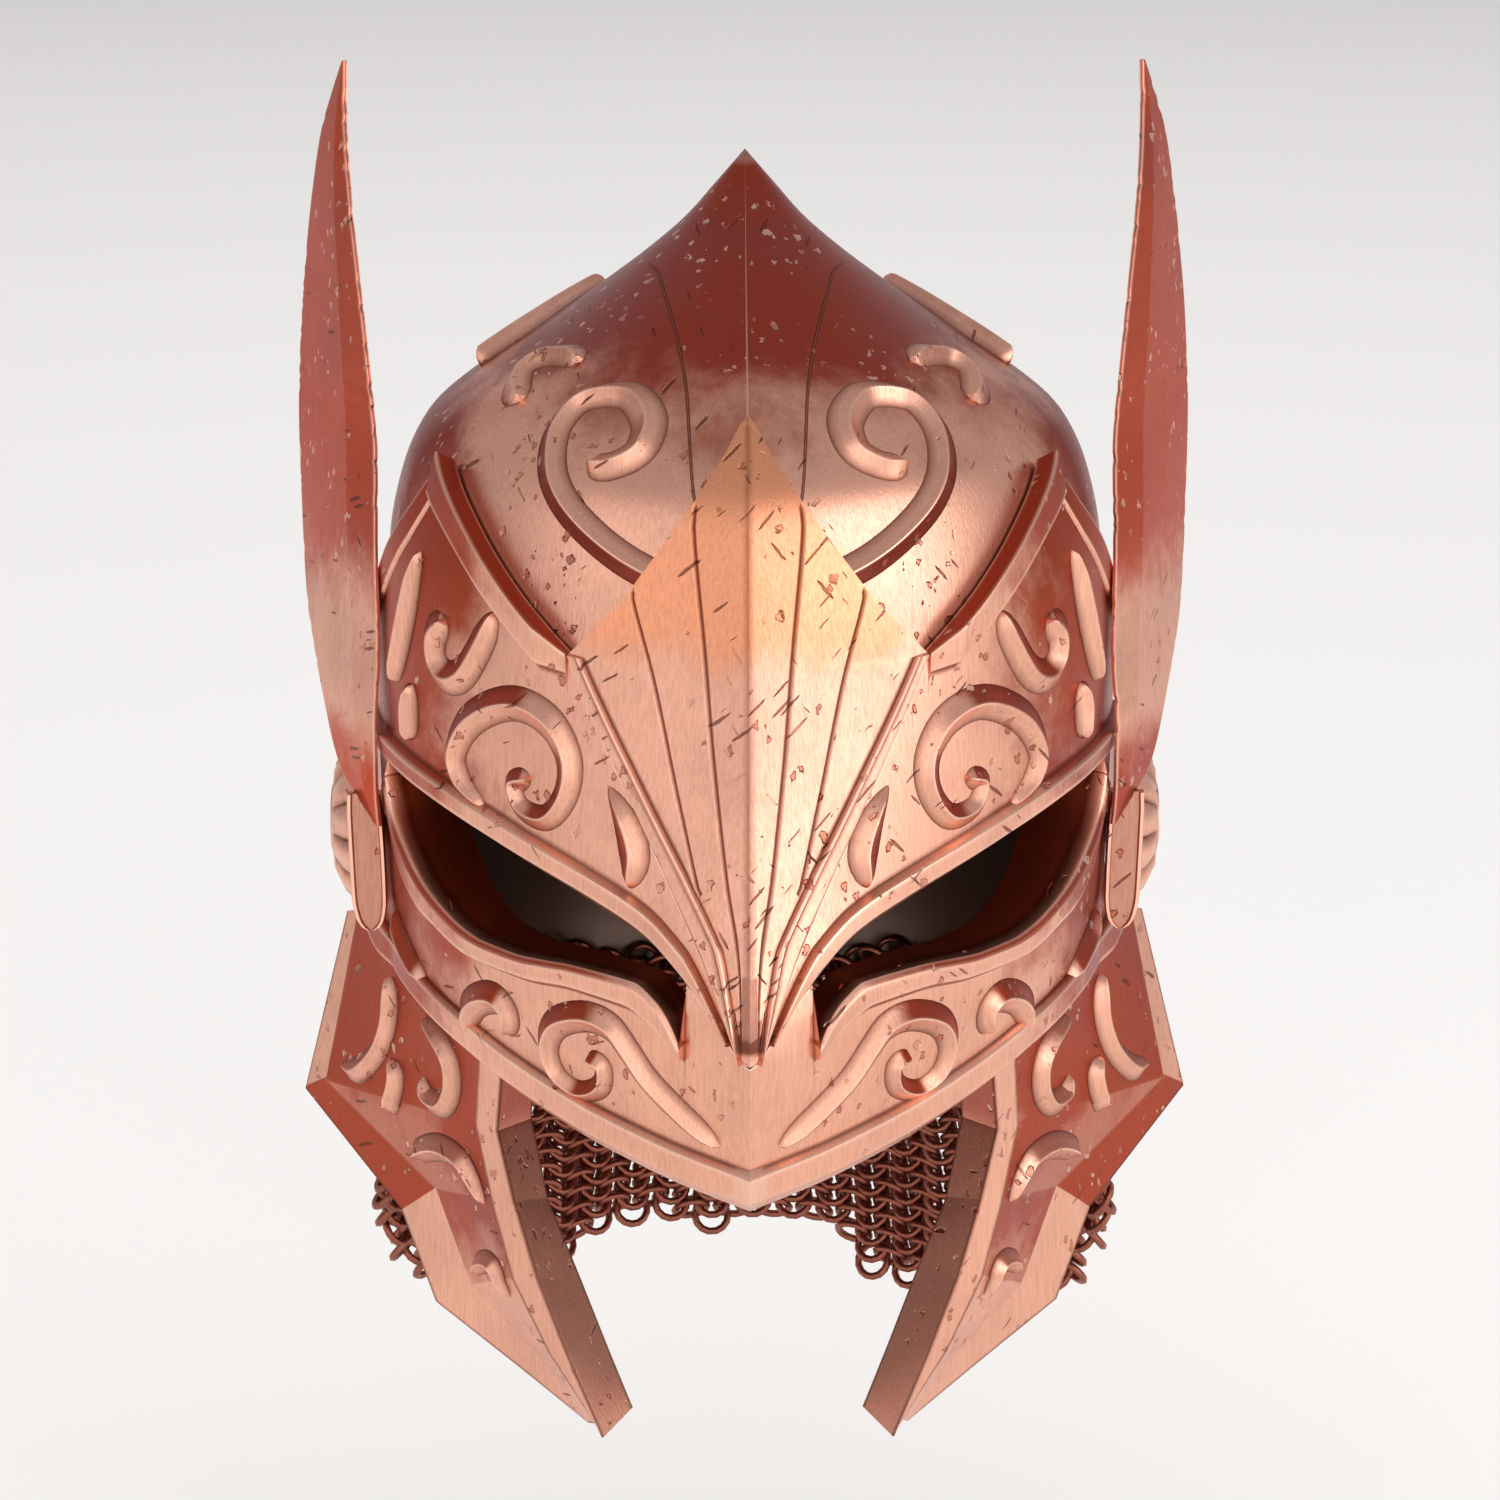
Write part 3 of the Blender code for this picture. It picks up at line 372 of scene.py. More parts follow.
    # Painted reflection: a warm orange tint is painted above a given height.
    if painted_warm_reflection:
        bright = t.blend(t.ramp(height, painted_warm_reflection[0], painted_warm_reflection[1]), bright, painted_warm_reflection[2])
    dark = t.blend(t.ramp(broad, 0.50, 0.62, 0.0, 0.45), deep, PURPLE)
    colour = t.blend(depth, bright, dark)
    colour = t.blend(t.math("MULTIPLY", t.ramp(grain, 0.35, 0.75), 0.20), colour, [0.55 * c for c in deep])
    colour = t.blend(t.math("MULTIPLY", oxide_and_shade, 0.85), colour, OXIDE_AND_SHADE)
    colour = t.blend(t.math("MULTIPLY", wear, 0.60), colour, WORN)
    bare = t.blend(t.ramp(depth, 0.35, 0.65), deep, WORN)
    colour = t.blend(t.math("MULTIPLY", chipped, 0.55), colour, bare)
    colour = t.blend(t.math("MULTIPLY", cut, 0.75), colour, OXIDE_AND_SHADE)
    # Where painted shading goes over one, the inside tone takes over: painted shade inside the dome, painted light in
    # the eye sockets.
    colour = t.blend(t.ramp(painted_shading, 1.0, 2.0), colour, painted_inside_tone)
    made.node_tree.links.new(colour, shader.inputs["Base Color"])
    rough = t.math("ADD", t.math("MULTIPLY", grain, 0.16), t.math("MULTIPLY", oxide_and_shade, 0.2))
    rough = t.math("ADD", rough, t.math("MULTIPLY", cloud, 0.12))
    rough = t.math("ADD", rough, roughness - 0.10)
    made.node_tree.links.new(rough, shader.inputs["Roughness"])
    shader.inputs["Metallic"].default_value = 1.0
    relief = t.math("SUBTRACT", t.math("MULTIPLY", grain, 0.06), marked)
    bump = t.add("ShaderNodeBump", Height=relief)
    bump.inputs["Strength"].default_value = 0.9
    bump.inputs["Distance"].default_value = 0.0011
    made.node_tree.links.new(bump.outputs[0], shader.inputs["Normal"])
    return made


FINISH = {
    "skull": copper("skull_worn_copper", deep=(0.35, 0.050, 0.027), painted_reflection_span=(0.86, 0.98), heights=(0.132, 0.158), chips=0.8, scratches=0.3),
    # The brow's warm tint above a given height is a painted reflection.
    "brow": copper("brow_worn_copper", painted_reflection_span=(1.1, 1.3), chips=0.3, scratches=0.6,
                   painted_warm_reflection=(0.084, 0.100, (0.90, 0.375, 0.205))),
    "visor": copper("visor_worn_copper", painted_reflection_span=(0.64, 0.78), chips=0.5),
    "face": copper("face_worn_copper", painted_reflection_span=(0.66, 0.80), chips=0.35, painted_inside_tone=SOCKET),
    "guard": copper("guard_worn_copper", painted_reflection_span=(0.62, 0.80), chips=0.6),
    "boss": copper("boss_worn_copper", painted_reflection_span=(0.95, 1.1), chips=0.3),
    "wing": copper("wing_worn_copper", deep=(0.60, 0.085, 0.034), painted_reflection_span=(1.5, 1.6), heights=(0.072, 0.098), foot=(0.026, 0.048),
                   chips=0.7, scratches=0.4, roughness=0.36),
    "mail": copper("mail_dark_copper", (0.36, 0.12, 0.08), chips=0.0, scratches=0.0, roughness=0.38),
}
print("finishes:", ", ".join(FINISH))

# %% [markdown]
# ## Relief scrolls
#
# The scrollwork is cast as raised bands with a crisp ridge, and each end curls into a
# round bulb. A band follows a short table of places on its plate. A curve goes
# through the rows, a small section with hollow flanks is swept along it, and the
# section shrinks round at both ends. It sinks a little into the plate, as a
# soldered band does, so that no light shows under it.

# %% Relief helpers
SCROLL_WIDTH, SCROLL_RISE = 0.0082, 0.0034
CROWN_RISES = {"crown_band": 0.0048}
SCROLLS = {
    # A fourth column, where given, is painted shade on the band's inner flank.
    "crown_spiral": [(0.105, 0.527, 1.1, 1.6), (0.176, 0.547, 1.1, 1.6), (0.241, 0.573, 1.1, 1.6),
                     (0.310, 0.607, 1.1, 1.6), (0.366, 0.645, 1.1, 1.4), (0.410, 0.684, 1.1, 0.8),
                     (0.400, 0.716, 1.1, 0.0), (0.291, 0.728, 1.2, 0.0), (0.209, 0.708, 1.3, 0.0),
                     (0.199, 0.677, 1.3, 0.0), (0.242, 0.656, 1.1, 0.0), (0.290, 0.652, 1.0, 0.0)],
    "crown_hook": [(0.540, 0.749, 0.9), (0.620, 0.750, 1.1), (0.715, 0.740, 1.1),
                   (0.735, 0.722, 1.1), (0.670, 0.706, 1.2), (0.600, 0.698, 1.1)],
    "crown_band": [(1.070, 0.690, 0.8), (1.130, 0.712, 1.9), (1.215, 0.734, 2.2),
                   (1.310, 0.757, 2.1), (1.415, 0.778, 1.0)],
    "visor_volute": [(0.430, 0.190, 0.4), (0.484, 0.216, 1.0), (0.501, 0.250, 1.1),
                     (0.467, 0.296, 1.2), (0.405, 0.330, 1.2), (0.344, 0.343, 1.2),
                     (0.287, 0.327, 1.2), (0.256, 0.286, 1.1), (0.262, 0.239, 1.0),
                     (0.298, 0.202, 0.9), (0.346, 0.206, 0.8), (0.362, 0.236, 0.8),
                     (0.328, 0.248, 0.9)],
    "visor_hook": [(0.408, 0.455, 0.6), (0.427, 0.420, 1.1), (0.473, 0.366, 1.2),
                   (0.518, 0.350, 1.2), (0.556, 0.366, 1.2), (0.562, 0.400, 1.3),
                   (0.530, 0.425, 1.2)],
    "visor_leaf": [(0.630, 0.500, 0.5), (0.663, 0.430, 1.3), (0.695, 0.362, 1.3),
                   (0.723, 0.305, 0.7)],
    "visor_drop": [(0.640, 0.318, 0.8), (0.657, 0.280, 1.4), (0.652, 0.238, 1.0)],
    "visor_crescent": [(0.190, 0.262, 0.3), (0.163, 0.220, 1.0), (0.150, 0.178, 1.2),
                       (0.158, 0.135, 0.6)],
    "face_volute": [(0.030, -0.178, 0.5), (0.060, -0.160, 1.0), (0.096, -0.135, 1.1),
                    (0.134, -0.105, 1.1), (0.162, -0.073, 1.1), (0.190, -0.048, 1.1),
                    (0.234, -0.045, 1.1), (0.286, -0.068, 1.1), (0.307, -0.106, 1.0),
                    (0.292, -0.144, 0.9), (0.250, -0.158, 0.8), (0.213, -0.140, 0.8),
                    (0.206, -0.108, 0.8), (0.232, -0.102, 0.9)],
    "face_hook": [(0.492, -0.140, 0.8), (0.494, -0.110, 1.2), (0.462, -0.082, 1.2),
                  (0.417, -0.068, 1.2), (0.388, -0.082, 1.1), (0.398, -0.114, 0.9)],
    "face_leaf": [(0.785, -0.035, 0.4), (0.750, -0.068, 1.2), (0.700, -0.090, 1.3),
                  (0.640, -0.104, 0.5)],
}
#   across the band, height, wear, oxide: hollow flanks that meet in a ridge
BAND = [(-1.00, -SINK / SCROLL_RISE, 0, 1), (-1.00, 0.00, 0, 1), (-0.82, 0.13, 0, 0.5), (-0.48, 0.45, 0, 0),
        (-0.16, 0.86, 0, 0), (-0.05, 0.98, 0.8, 0), (0.05, 0.98, 0.8, 0), (0.16, 0.86, 0, 0),
        (0.48, 0.45, 0, 0), (0.82, 0.13, 0, 0.5), (1.00, 0.00, 0, 1), (1.00, -SINK / SCROLL_RISE, 0, 1)]


def curve_through(rows, per_row):
    rows = np.array(rows, float)
    padded = np.concatenate([rows[:1], rows, rows[-1:]])
    u = np.linspace(0, 1, per_row, endpoint=False)[:, None]
    a, b, c, d = (padded[k:len(padded) - 3 + k][:, None] for k in range(4))
    path = 0.5 * (2 * b + (c - a) * u + (2 * a - 5 * b + 4 * c - d) * u**2 + (3 * b - a - 3 * c + d) * u**3)
    return np.concatenate([path.reshape(-1, rows.shape[1]), rows[-1:]])


def band(rows, place, per_row=9, width=SCROLL_WIDTH, rise=SCROLL_RISE, dark=0.0, painted_shading=0.0, side=1):
    """A raised band. place(a, b) gives points of the plate and its normals. A fourth column
    of its rows gives painted shade on the flank on its inner side."""
    path = curve_through(rows, per_row)
    spots, normals = place(path[:, 0], path[:, 1])
    length = np.concatenate([[0], np.cumsum(np.linalg.norm(np.diff(spots, axis=0), axis=1))])
    girth = path[:, 2]
    nose = 0.55 * width
    ends = [0, 0.12 * nose, 0.35 * nose, 0.65 * nose]
    stations = np.concatenate([ends, length[(length > nose) & (length < length[-1] - nose)],
                               length[-1] - np.array(ends[::-1])])
    spots, normals = (np.stack([np.interp(stations, length, v[:, k]) for k in range(3)], -1)
                      for v in (spots, normals))
    girth = np.interp(stations, length, girth)
    painted_flank_shade = np.interp(stations, length, path[:, 3]) if path.shape[1] > 3 else 0 * stations
    from_end = np.minimum(stations, length[-1] - stations) / nose
    girth = girth * np.sqrt(np.clip(1 - (1 - np.clip(from_end, 0.004, 1)) ** 2, 0, 1))
    ahead = np.gradient(spots, axis=0)
    sideways = unit(np.cross(ahead, normals))
    points, wear, oxide_and_shade, painted_shadings = [], [], [], []
    for across, height, worn, sunk in BAND:
        up = rise * np.minimum(1.0, 0.25 + 0.75 * girth) * np.minimum(1, 2.2 * girth) if height > 0 else rise
        points.append(spots + sideways * (across * width / 2 * girth)[:, None]
                      + normals * (height * up * np.ones(len(stations)))[:, None])
        wear.append(np.full(len(stations), worn * 0.6))
        oxide_and_shade.append(np.full(len(stations), max(sunk, dark)))
        # Painted shading: the band's own painted shading, plus painted shade on its inner flank.
        painted_shadings.append(painted_shading + painted_flank_shade * (across * side > 0))
    return join_sections(np.stack(points, 1), np.stack(wear, 1), np.stack(oxide_and_shade, 1), painted_shading=np.stack(painted_shadings, 1))


def on_skull(side, distance):
    def place(around, share):
        height = np.asarray(share) * CROWN_HEIGHT
        return (ride(side * around, height, np.full(np.shape(around), distance)),
                unit(outward(side * around, height)))
    return place


print("scrolls on each side:", len(SCROLLS))

# %% [markdown]
# ## The skull
#
# The dome is beaten from sheet: a closed double wall that runs down over the neck,
# with a crisp crease over the forehead. It is a main piece whose form follows the
# section table, so it is laid out on the chart: columns around, rows up to the point.
# Two fine seam lines run from the brow plate over the dome.

# %% Skull
SKULL_RIM = [(0.00, 0.250), (0.83, 0.257), (0.875, -0.095), (1.15, -0.100), (1.42, -0.320),
             (2.00, -0.430)]
SKULL_WAIST = 0.29
SEAM = [(0.070, 0.600, 0.12), (0.114, 0.702, 0.12), (0.185, 0.768, 0.12), (0.316, 0.815, 0.12),
        (0.544, 0.848, 0.12), (0.775, 0.854, 0.10)]
half_turns = np.concatenate([[0.0, 0.004, 0.012], np.linspace(0.03, 0.83, 56), [0.852, 0.875],
                             np.linspace(0.895, 1.99, 62), [1.996]])
turns = np.concatenate([half_turns, [2.0], -half_turns[:0:-1]])
levels = np.concatenate([np.linspace(0, 0.88, 9), 1 + np.linspace(0, 0.97, 60)])
rim = straight(SKULL_RIM, 1, np.abs(turns))
shares = np.where(levels[None] <= 1, rim[:, None] + (SKULL_WAIST - rim[:, None]) * np.minimum(levels, 1),
                  SKULL_WAIST + (1 - SKULL_WAIST) * (levels[None] - 1))
heights = shares * CROWN_HEIGHT
rounds = np.broadcast_to(turns[:, None], heights.shape)
outer = skin(rounds, heights)
inner = ride(rounds, heights, np.full(heights.shape, -SKULL_WALL))
points = np.concatenate([outer, inner[:, ::-1]], 1)
count, rows = points.shape[:2]
wear = np.zeros((count, rows))
wear[np.abs(turns) < 0.002, :rows // 2] = 0.8
wear[:, 0] = 0.5
oxide_and_shade = np.zeros((count, rows))
painted_shading = np.zeros((count, rows))
# Painted shade: the inner wall and the inner point of the crown get painted shading of two, which paints them with the
# dark inside colour.
painted_shading[:, rows // 2:] = 2.0
flat, faces, wear, oxide_and_shade, painted_shading = join_sections(points, wear, oxide_and_shade, closed_path=True, painted_shading=painted_shading)
faces = [face for face in faces if face[0] % rows != rows // 2 - 1]
flat = np.concatenate([flat, [[0, 0, CROWN_HEIGHT], [0, 0, CROWN_HEIGHT - 2.6 * SKULL_WALL]]])
wear, oxide_and_shade, painted_shading = np.append(wear, [1, 0]), np.append(oxide_and_shade, [0, 0]), np.append(painted_shading, [0, 2])
for i in range(count):
    there = (i + 1) % count
    faces.append((i * rows + rows // 2 - 1, there * rows + rows // 2 - 1, count * rows))
    faces.append((there * rows + rows // 2, i * rows + rows // 2, count * rows + 1))
chunks = [(flat, faces, wear, oxide_and_shade, painted_shading)]
for _, side in SIDES:
    # Painted highlight: the crown scrolls get negative painted shading, which paints them paler than the dome.
    chunks += [band(SCROLLS[name], on_skull(side, 0.0), rise=CROWN_RISES.get(name, SCROLL_RISE), painted_shading=-0.7, side=side)
               for name in SCROLLS if name.startswith("crown")]
    chunks.append(band(SEAM, on_skull(side, 0.0), rise=0.0014, dark=1.0))
make_piece("skull_dome", chunks, FINISH["skull"], "skull")

# %% [markdown]
# ## The brow plate
#
# The kite on the forehead runs from the crown to the nose. Two fine lines on each
# side are cut into it, fanning out from the nose, and a raised strip follows each
# lower side. Each level of the kite is one closed section, from its left edge over
# the ridge to its right edge and back along its underside, so the cut lines are
# real grooves: three points of the section dip below the face.

# %% Brow plate
BROW_TOP = [(0.421, 0.259), (0.500, 0.172), (0.607, 0.088), (0.660, 0.046), (0.716, 0.0005)]
BROW_SIDE = [(-0.053, 0.000), (0.066, 0.053), (0.168, 0.108), (0.296, 0.183), (0.421, 0.259)]
RAYS = {
    "inner": [(-0.049, 0.000), (0.051, 0.004), (0.170, 0.022), (0.318, 0.039), (0.466, 0.053), (0.600, 0.072)],
    "outer": [(-0.049, 0.000), (-0.008, 0.006), (0.103, 0.046), (0.260, 0.086), (0.408, 0.122), (0.520, 0.162)],
}
BROW_STRIP = [(-0.049, 0.0036), (0.070, 0.0078), (0.250, 0.0064), (0.421, 0.0048)]
BROW_STRIP_RISE = 0.0018
RAY_WIDTH, RAY_DEPTH, BROW_TIP_LEAN = 0.0009, 0.0006, 0.018
levels = np.concatenate([np.linspace(-0.050, 0.418, 84), [0.421, 0.424], np.linspace(0.43, 0.714, 46)])
below = levels <= 0.4215
wide = np.where(below, straight(BROW_SIDE, 1, levels), straight(BROW_TOP, 1, levels))
heights = levels * CROWN_HEIGHT
metres = np.linalg.norm(skin(wide, heights) - skin(0 * wide, heights), axis=-1)
scale = metres / wide
band_width = np.minimum(0.55 * metres, eased(BROW_STRIP, 1, levels))
strip = np.where(below, metres - band_width, 0.998 * metres)
step = np.where(below, strip - np.minimum(0.0006, 0.05 * metres), 0.994 * metres)
rise = np.where(below, BROW_STRIP_RISE, 0.0)
line = [(metres, 0.1 * rise), (0.88 * metres + 0.12 * strip, 0.55 * rise), (0.26 * metres + 0.74 * strip, 0.55 * rise),
        (0.14 * metres + 0.86 * strip, rise), (strip, 0.9 * rise), (step, 0 * rise)]
room = step
lines_cut = {}
for name in ("outer", "inner"):
    ray = eased(RAYS[name], 1, levels) * scale
    cut = np.where(ray < 0.985 * room, RAY_DEPTH, 0.0)
    groove = np.minimum(RAY_WIDTH, 0.12 * room) * np.where(cut > 0, 1, 0.1)
    ray = np.minimum(ray, room - 1.1 * groove)
    line += [(ray + groove, 0 * rise), (ray, -cut), (ray - groove, 0 * rise)]
    room = ray - 1.5 * groove
    lines_cut[name] = np.where(cut > 0, ray, -1)
face = SEAT + BROW_WALL
right = [(x, face + r) for x, r in line]
left = [(-x, out) for x, out in reversed(right)]
under = [(-x * metres, SEAT + 0 * metres) for x in (1, 0.6, 0.3, 0, -0.3, -0.6, -1)]
loop = right + [(0 * metres, face + 0 * metres)] + left + under
corners = [k in (0, 1, 2, 3, 4, 5, 12, 19, 20, 21, 22, 23, 24, 25, 31) for k in range(len(loop))]
loops = np.stack([np.stack(np.broadcast_arrays(x, out), -1) for x, out in loop], 1)[:, ::-1]
corners = corners[::-1]
loops, wear, oxide_and_shade = soften(loops, corners)
at, level = loops[..., 0] / scale[:, None], np.broadcast_to(heights[:, None], loops.shape[:2])
lean = np.where(below, 1, np.clip(metres / BROW_TIP_LEAN, 0, 1))[:, None]
points = skin(at, level) + outward(at * lean, level) * loops[..., 1, None]
near_ray = np.zeros_like(oxide_and_shade)
for ray in lines_cut.values():
    near_ray = np.maximum(near_ray, (np.abs(np.abs(loops[..., 0]) - ray[:, None]) < 0.0002) * 1.0)
near_ray = np.maximum(near_ray, (np.abs(loops[..., 0]) < 0.00015) * 0.6)
# Painted shade: the underside of the kite is darkened with the oxide colour; the cut lines and the ridge line get
# oxide.
oxide_and_shade = np.maximum(oxide_and_shade, np.where(loops[..., 1] > SEAT + 0.001, near_ray, 0.7))
oxide_and_shade[:3] = 0.0
make_piece("brow_kite", [join_sections(points, wear, oxide_and_shade)], FINISH["brow"], "brow_plate")

# %% [markdown]
# ## The visor halves
#
# Each half covers the temple. It stands up in a flange that ends in a peak, and a
# border follows the eye slit. Here a section goes up the plate at one place around
# the head, and the sections follow each other from the nose to the ear.

# %% Visor halves
SLIT_TOP = [(0.000, -0.052), (0.033, -0.008), (0.074, 0.032), (0.131, 0.075), (0.209, 0.104),
            (0.316, 0.131), (0.447, 0.156), (0.592, 0.174), (0.772, 0.185), (0.970, 0.188)]
FLANGE = [(0.259, 0.421), (0.336, 0.468), (0.421, 0.520), (0.512, 0.571), (0.623, 0.620)]
BEHIND_PEAK = [(0.623, 0.620), (0.650, 0.590), (0.681, 0.560), (0.779, 0.485), (0.860, 0.420),
               (0.950, 0.350)]
SLIT_BORDER, SLIT_BORDER_RISE, FLANGE_WIDTH, FLANGE_RISE = 0.0084, 0.0028, 0.0105, 0.0050
PEAK, CORNER, FLANGE_GROWTH = 0.623, 0.259, 0.05
turns = np.concatenate([np.linspace(0.016, 0.257, 42), [CORNER, 0.261], np.linspace(0.266, PEAK, 60),
                        [0.628, 0.636], np.linspace(0.645, 0.950, 40)])
BROW_EDGE = [(around, share) for share, around in BROW_SIDE]
low = eased(SLIT_TOP, 1, turns) * CROWN_HEIGHT
flanged = turns > CORNER
top = np.where(flanged, np.where(turns < PEAK, eased(FLANGE, 1, turns), straight(BEHIND_PEAK, 1, turns)),
               straight(BROW_EDGE, 1, turns)) * CROWN_HEIGHT - np.where(flanged, 0, 2.4 * GAP)
tall = top - low
border = np.minimum(SLIT_BORDER, 0.6 * tall)
grown = np.clip((turns - CORNER) / FLANGE_GROWTH, 0, 1)
flange = np.where(flanged, FLANGE_WIDTH * (0.5 + 0.5 * grown), 0.15 * tall)
rise = np.where(flanged, np.where(turns < PEAK + 0.003, FLANGE_RISE * (0.2 + 0.8 * grown), 0.0015), 0.0)
face, lip = SEAT + PLATE, SLIT_BORDER_RISE
field = tall - border - flange
outer_line = [(low, face, 1), (low + 0.20 * border, face + 0.85 * lip, 1), (low + 0.80 * border, face + lip, 1),
              (low + border, face, 1)]
outer_line += [(low + border + share * field, face, 0) for share in np.linspace(0.12, 0.9, 12)]
outer_line += [(top - flange, face, 1), (top - 0.88 * flange, face + 0.60 * rise, 1), (top, face + rise, 1)]
inner_line = [(top - share * tall, SEAT, share in (0, 1)) for share in np.linspace(0, 1, 9)]
loop = outer_line + inner_line
corners = [bool(corner) for _, _, corner in loop]
section = np.stack([np.stack(np.broadcast_arrays(height, out + 0 * turns), -1) for height, out, _ in loop], 1)
section, wear, oxide_and_shade = soften(section, corners)
# Painted shade: the back of the plate is darkened with the oxide colour.
under = (section[..., 1] < SEAT + 0.0003) * 0.7
# Painted shade: the top wall of the flange is painted deep red.
painted_shade_wall = ((section[..., 0] > top[:, None] - 0.0002) & flanged[:, None]) * 1.0
for label, side in SIDES:
    around = np.broadcast_to(side * turns[:, None], section.shape[:2])
    plate = join_sections(ride(around, section[..., 0], section[..., 1]), wear, np.maximum(oxide_and_shade, under), painted_shading=painted_shade_wall)
    bands = [band(SCROLLS[name], on_skull(side, face)) for name in SCROLLS if name.startswith("visor")]
    make_piece("visor_half_" + label, [plate] + bands, FINISH["visor"], "visor_" + label)

# %% [markdown]
# ## The face plate
#
# The lower mask has a keel under the nose, a lid under each eye that turns inwards as
# a socket, and a thick border along the jaw. Its sections go up the plate as the
# visor's do, but the top of a section folds back into the head where there is an eye.

# %% Face plate
LID_TOP = [(0.079, -0.044), (0.100, -0.010), (0.120, 0.008), (0.147, 0.021), (0.190, 0.022),
           (0.245, 0.021), (0.300, 0.016), (0.362, 0.011), (0.430, 0.011), (0.484, 0.017),
           (0.540, 0.030), (0.608, 0.051), (0.670, 0.079), (0.736, 0.116), (0.775, 0.160)]
LID_FOOT = [(0.079, -0.060), (0.120, -0.028), (0.163, -0.010), (0.247, -0.008), (0.344, -0.017),
            (0.462, -0.019), (0.580, 0.000), (0.620, 0.007), (0.700, 0.040), (0.770, 0.105)]
LID_DEPTH = [(0.079, 0.006), (0.147, 0.008), (0.400, 0.010), (0.640, 0.015), (0.775, 0.017)]
CHIN = [(0.000, -0.271), (0.096, -0.260), (0.231, -0.238), (0.373, -0.210), (0.499, -0.185),
        (0.677, -0.159), (0.860, -0.140), (0.970, -0.110)]
CHIN_BORDER, CHIN_BORDER_RISE, LID_RISE, LID_SHELF, REAR_FLARE = 0.0135, 0.0028, 0.0028, 0.0022, 0.0055
LID_START, LID_END = 0.077, 0.79
half_turns = np.concatenate([[0.0, 0.004, 0.012], np.linspace(0.022, 0.0755, 10), [0.0785],
                             np.linspace(0.083, 0.775, 96), [0.785, 0.795], np.linspace(0.805, 0.93, 18)])
turns = np.concatenate([-half_turns[:0:-1], half_turns])
turn = np.abs(turns)
lidded = (turn > LID_START) & (turn < LID_END)
low = straight(CHIN, 1, turn) * CROWN_HEIGHT
slit = eased(SLIT_TOP, 1, turn) * CROWN_HEIGHT - np.where(turn < LID_START, 1.5 * GAP, 2.4 * GAP)
top = np.where(lidded, eased(LID_TOP, 1, turn) * CROWN_HEIGHT, slit)
foot = np.where(lidded, eased(LID_FOOT, 1, turn) * CROWN_HEIGHT, top - 0.004)
depth, rise = eased(LID_DEPTH, 1, turn), np.where(lidded, LID_RISE, 0.0)
face, lip = SEAT + PLATE, CHIN_BORDER_RISE
edge = low + CHIN_BORDER
up = np.where(lidded, 0.0015, 0.0)
line = [(low, 0.7 * face, 1), (low + 0.38 * CHIN_BORDER, face + lip, 1), (edge - 0.0010, face + 0.8 * lip, 1),
        (edge, face, 1)]
line += [(edge + share * (foot - edge), face, 0) for share in (0.1, 0.22, 0.34, 0.46, 0.58, 0.70, 0.82, 0.92)]
line += [(foot - 0.0011, face, 1), (foot, face + 0.75 * rise, 1), (foot + 0.72 * (top - foot), face + rise, 1),
         (top, face + 0.60 * rise, 1)]
lid = face + 0.60 * rise
line += [(top + share * up, lid + share * (np.where(lidded, -depth, 0.6 * face) - lid), share == 1)
         for share in (0.35, 0.7, 1.0)]
line += [(top + np.where(lidded, 0.0015 - LID_SHELF, 0.0), np.where(lidded, -depth, SEAT), 1),
         (top - LID_SHELF, SEAT, 0), (foot - 0.0006, SEAT, 0)]
line += [(low + share * (foot - low), SEAT, share == 0) for share in (0.8, 0.6, 0.4, 0.2, 0.0)]
section = np.stack([np.stack(np.broadcast_arrays(height, out + 0 * turns), -1) for height, out, _ in line], 1)
section, wear, oxide_and_shade = soften(section, [bool(corner) for _, _, corner in line])
back = np.clip((turn - 0.80) / 0.13, 0, 1)[:, None]
under = np.clip((-0.020 - section[..., 0] / CROWN_HEIGHT) / 0.09, 0, 1)
distance = section[..., 1] + REAR_FLARE * back * under
crease = np.exp(-(turn / 0.006) ** 2)[:, None] * (section[..., 1] > face)
# Painted light: the eye sockets get painted shading of two, which paints them a bright red where they lie in shade,
# with a little painted shade in the oxide colour.
socket = np.clip((face - 0.0002 - section[..., 1]) / 0.004, 0, 1)
around = np.broadcast_to(turns[:, None], section.shape[:2])
plate = join_sections(ride(around, section[..., 0], distance), np.maximum(wear, 0.8 * crease),
                      np.maximum(oxide_and_shade, 0.15 * socket), painted_shading=2 * socket)
bands = [band(SCROLLS[name], on_skull(side, face))
         for name in SCROLLS if name.startswith("face") for _, side in SIDES]
make_piece("face_mask", [plate] + bands, FINISH["face"], "face_plate")

# %% [markdown]
# ## The cheek guards
#
# A guard hangs under each ear. It is folded, not curved: a chamfered rim behind, a
# flat field with scrolls, a raised border in front, and a wall that returns inwards.
# Five fold lines of six points each are all the shape it has, as shares of the head
# sizes, and the back of the plate follows its front at a constant depth.

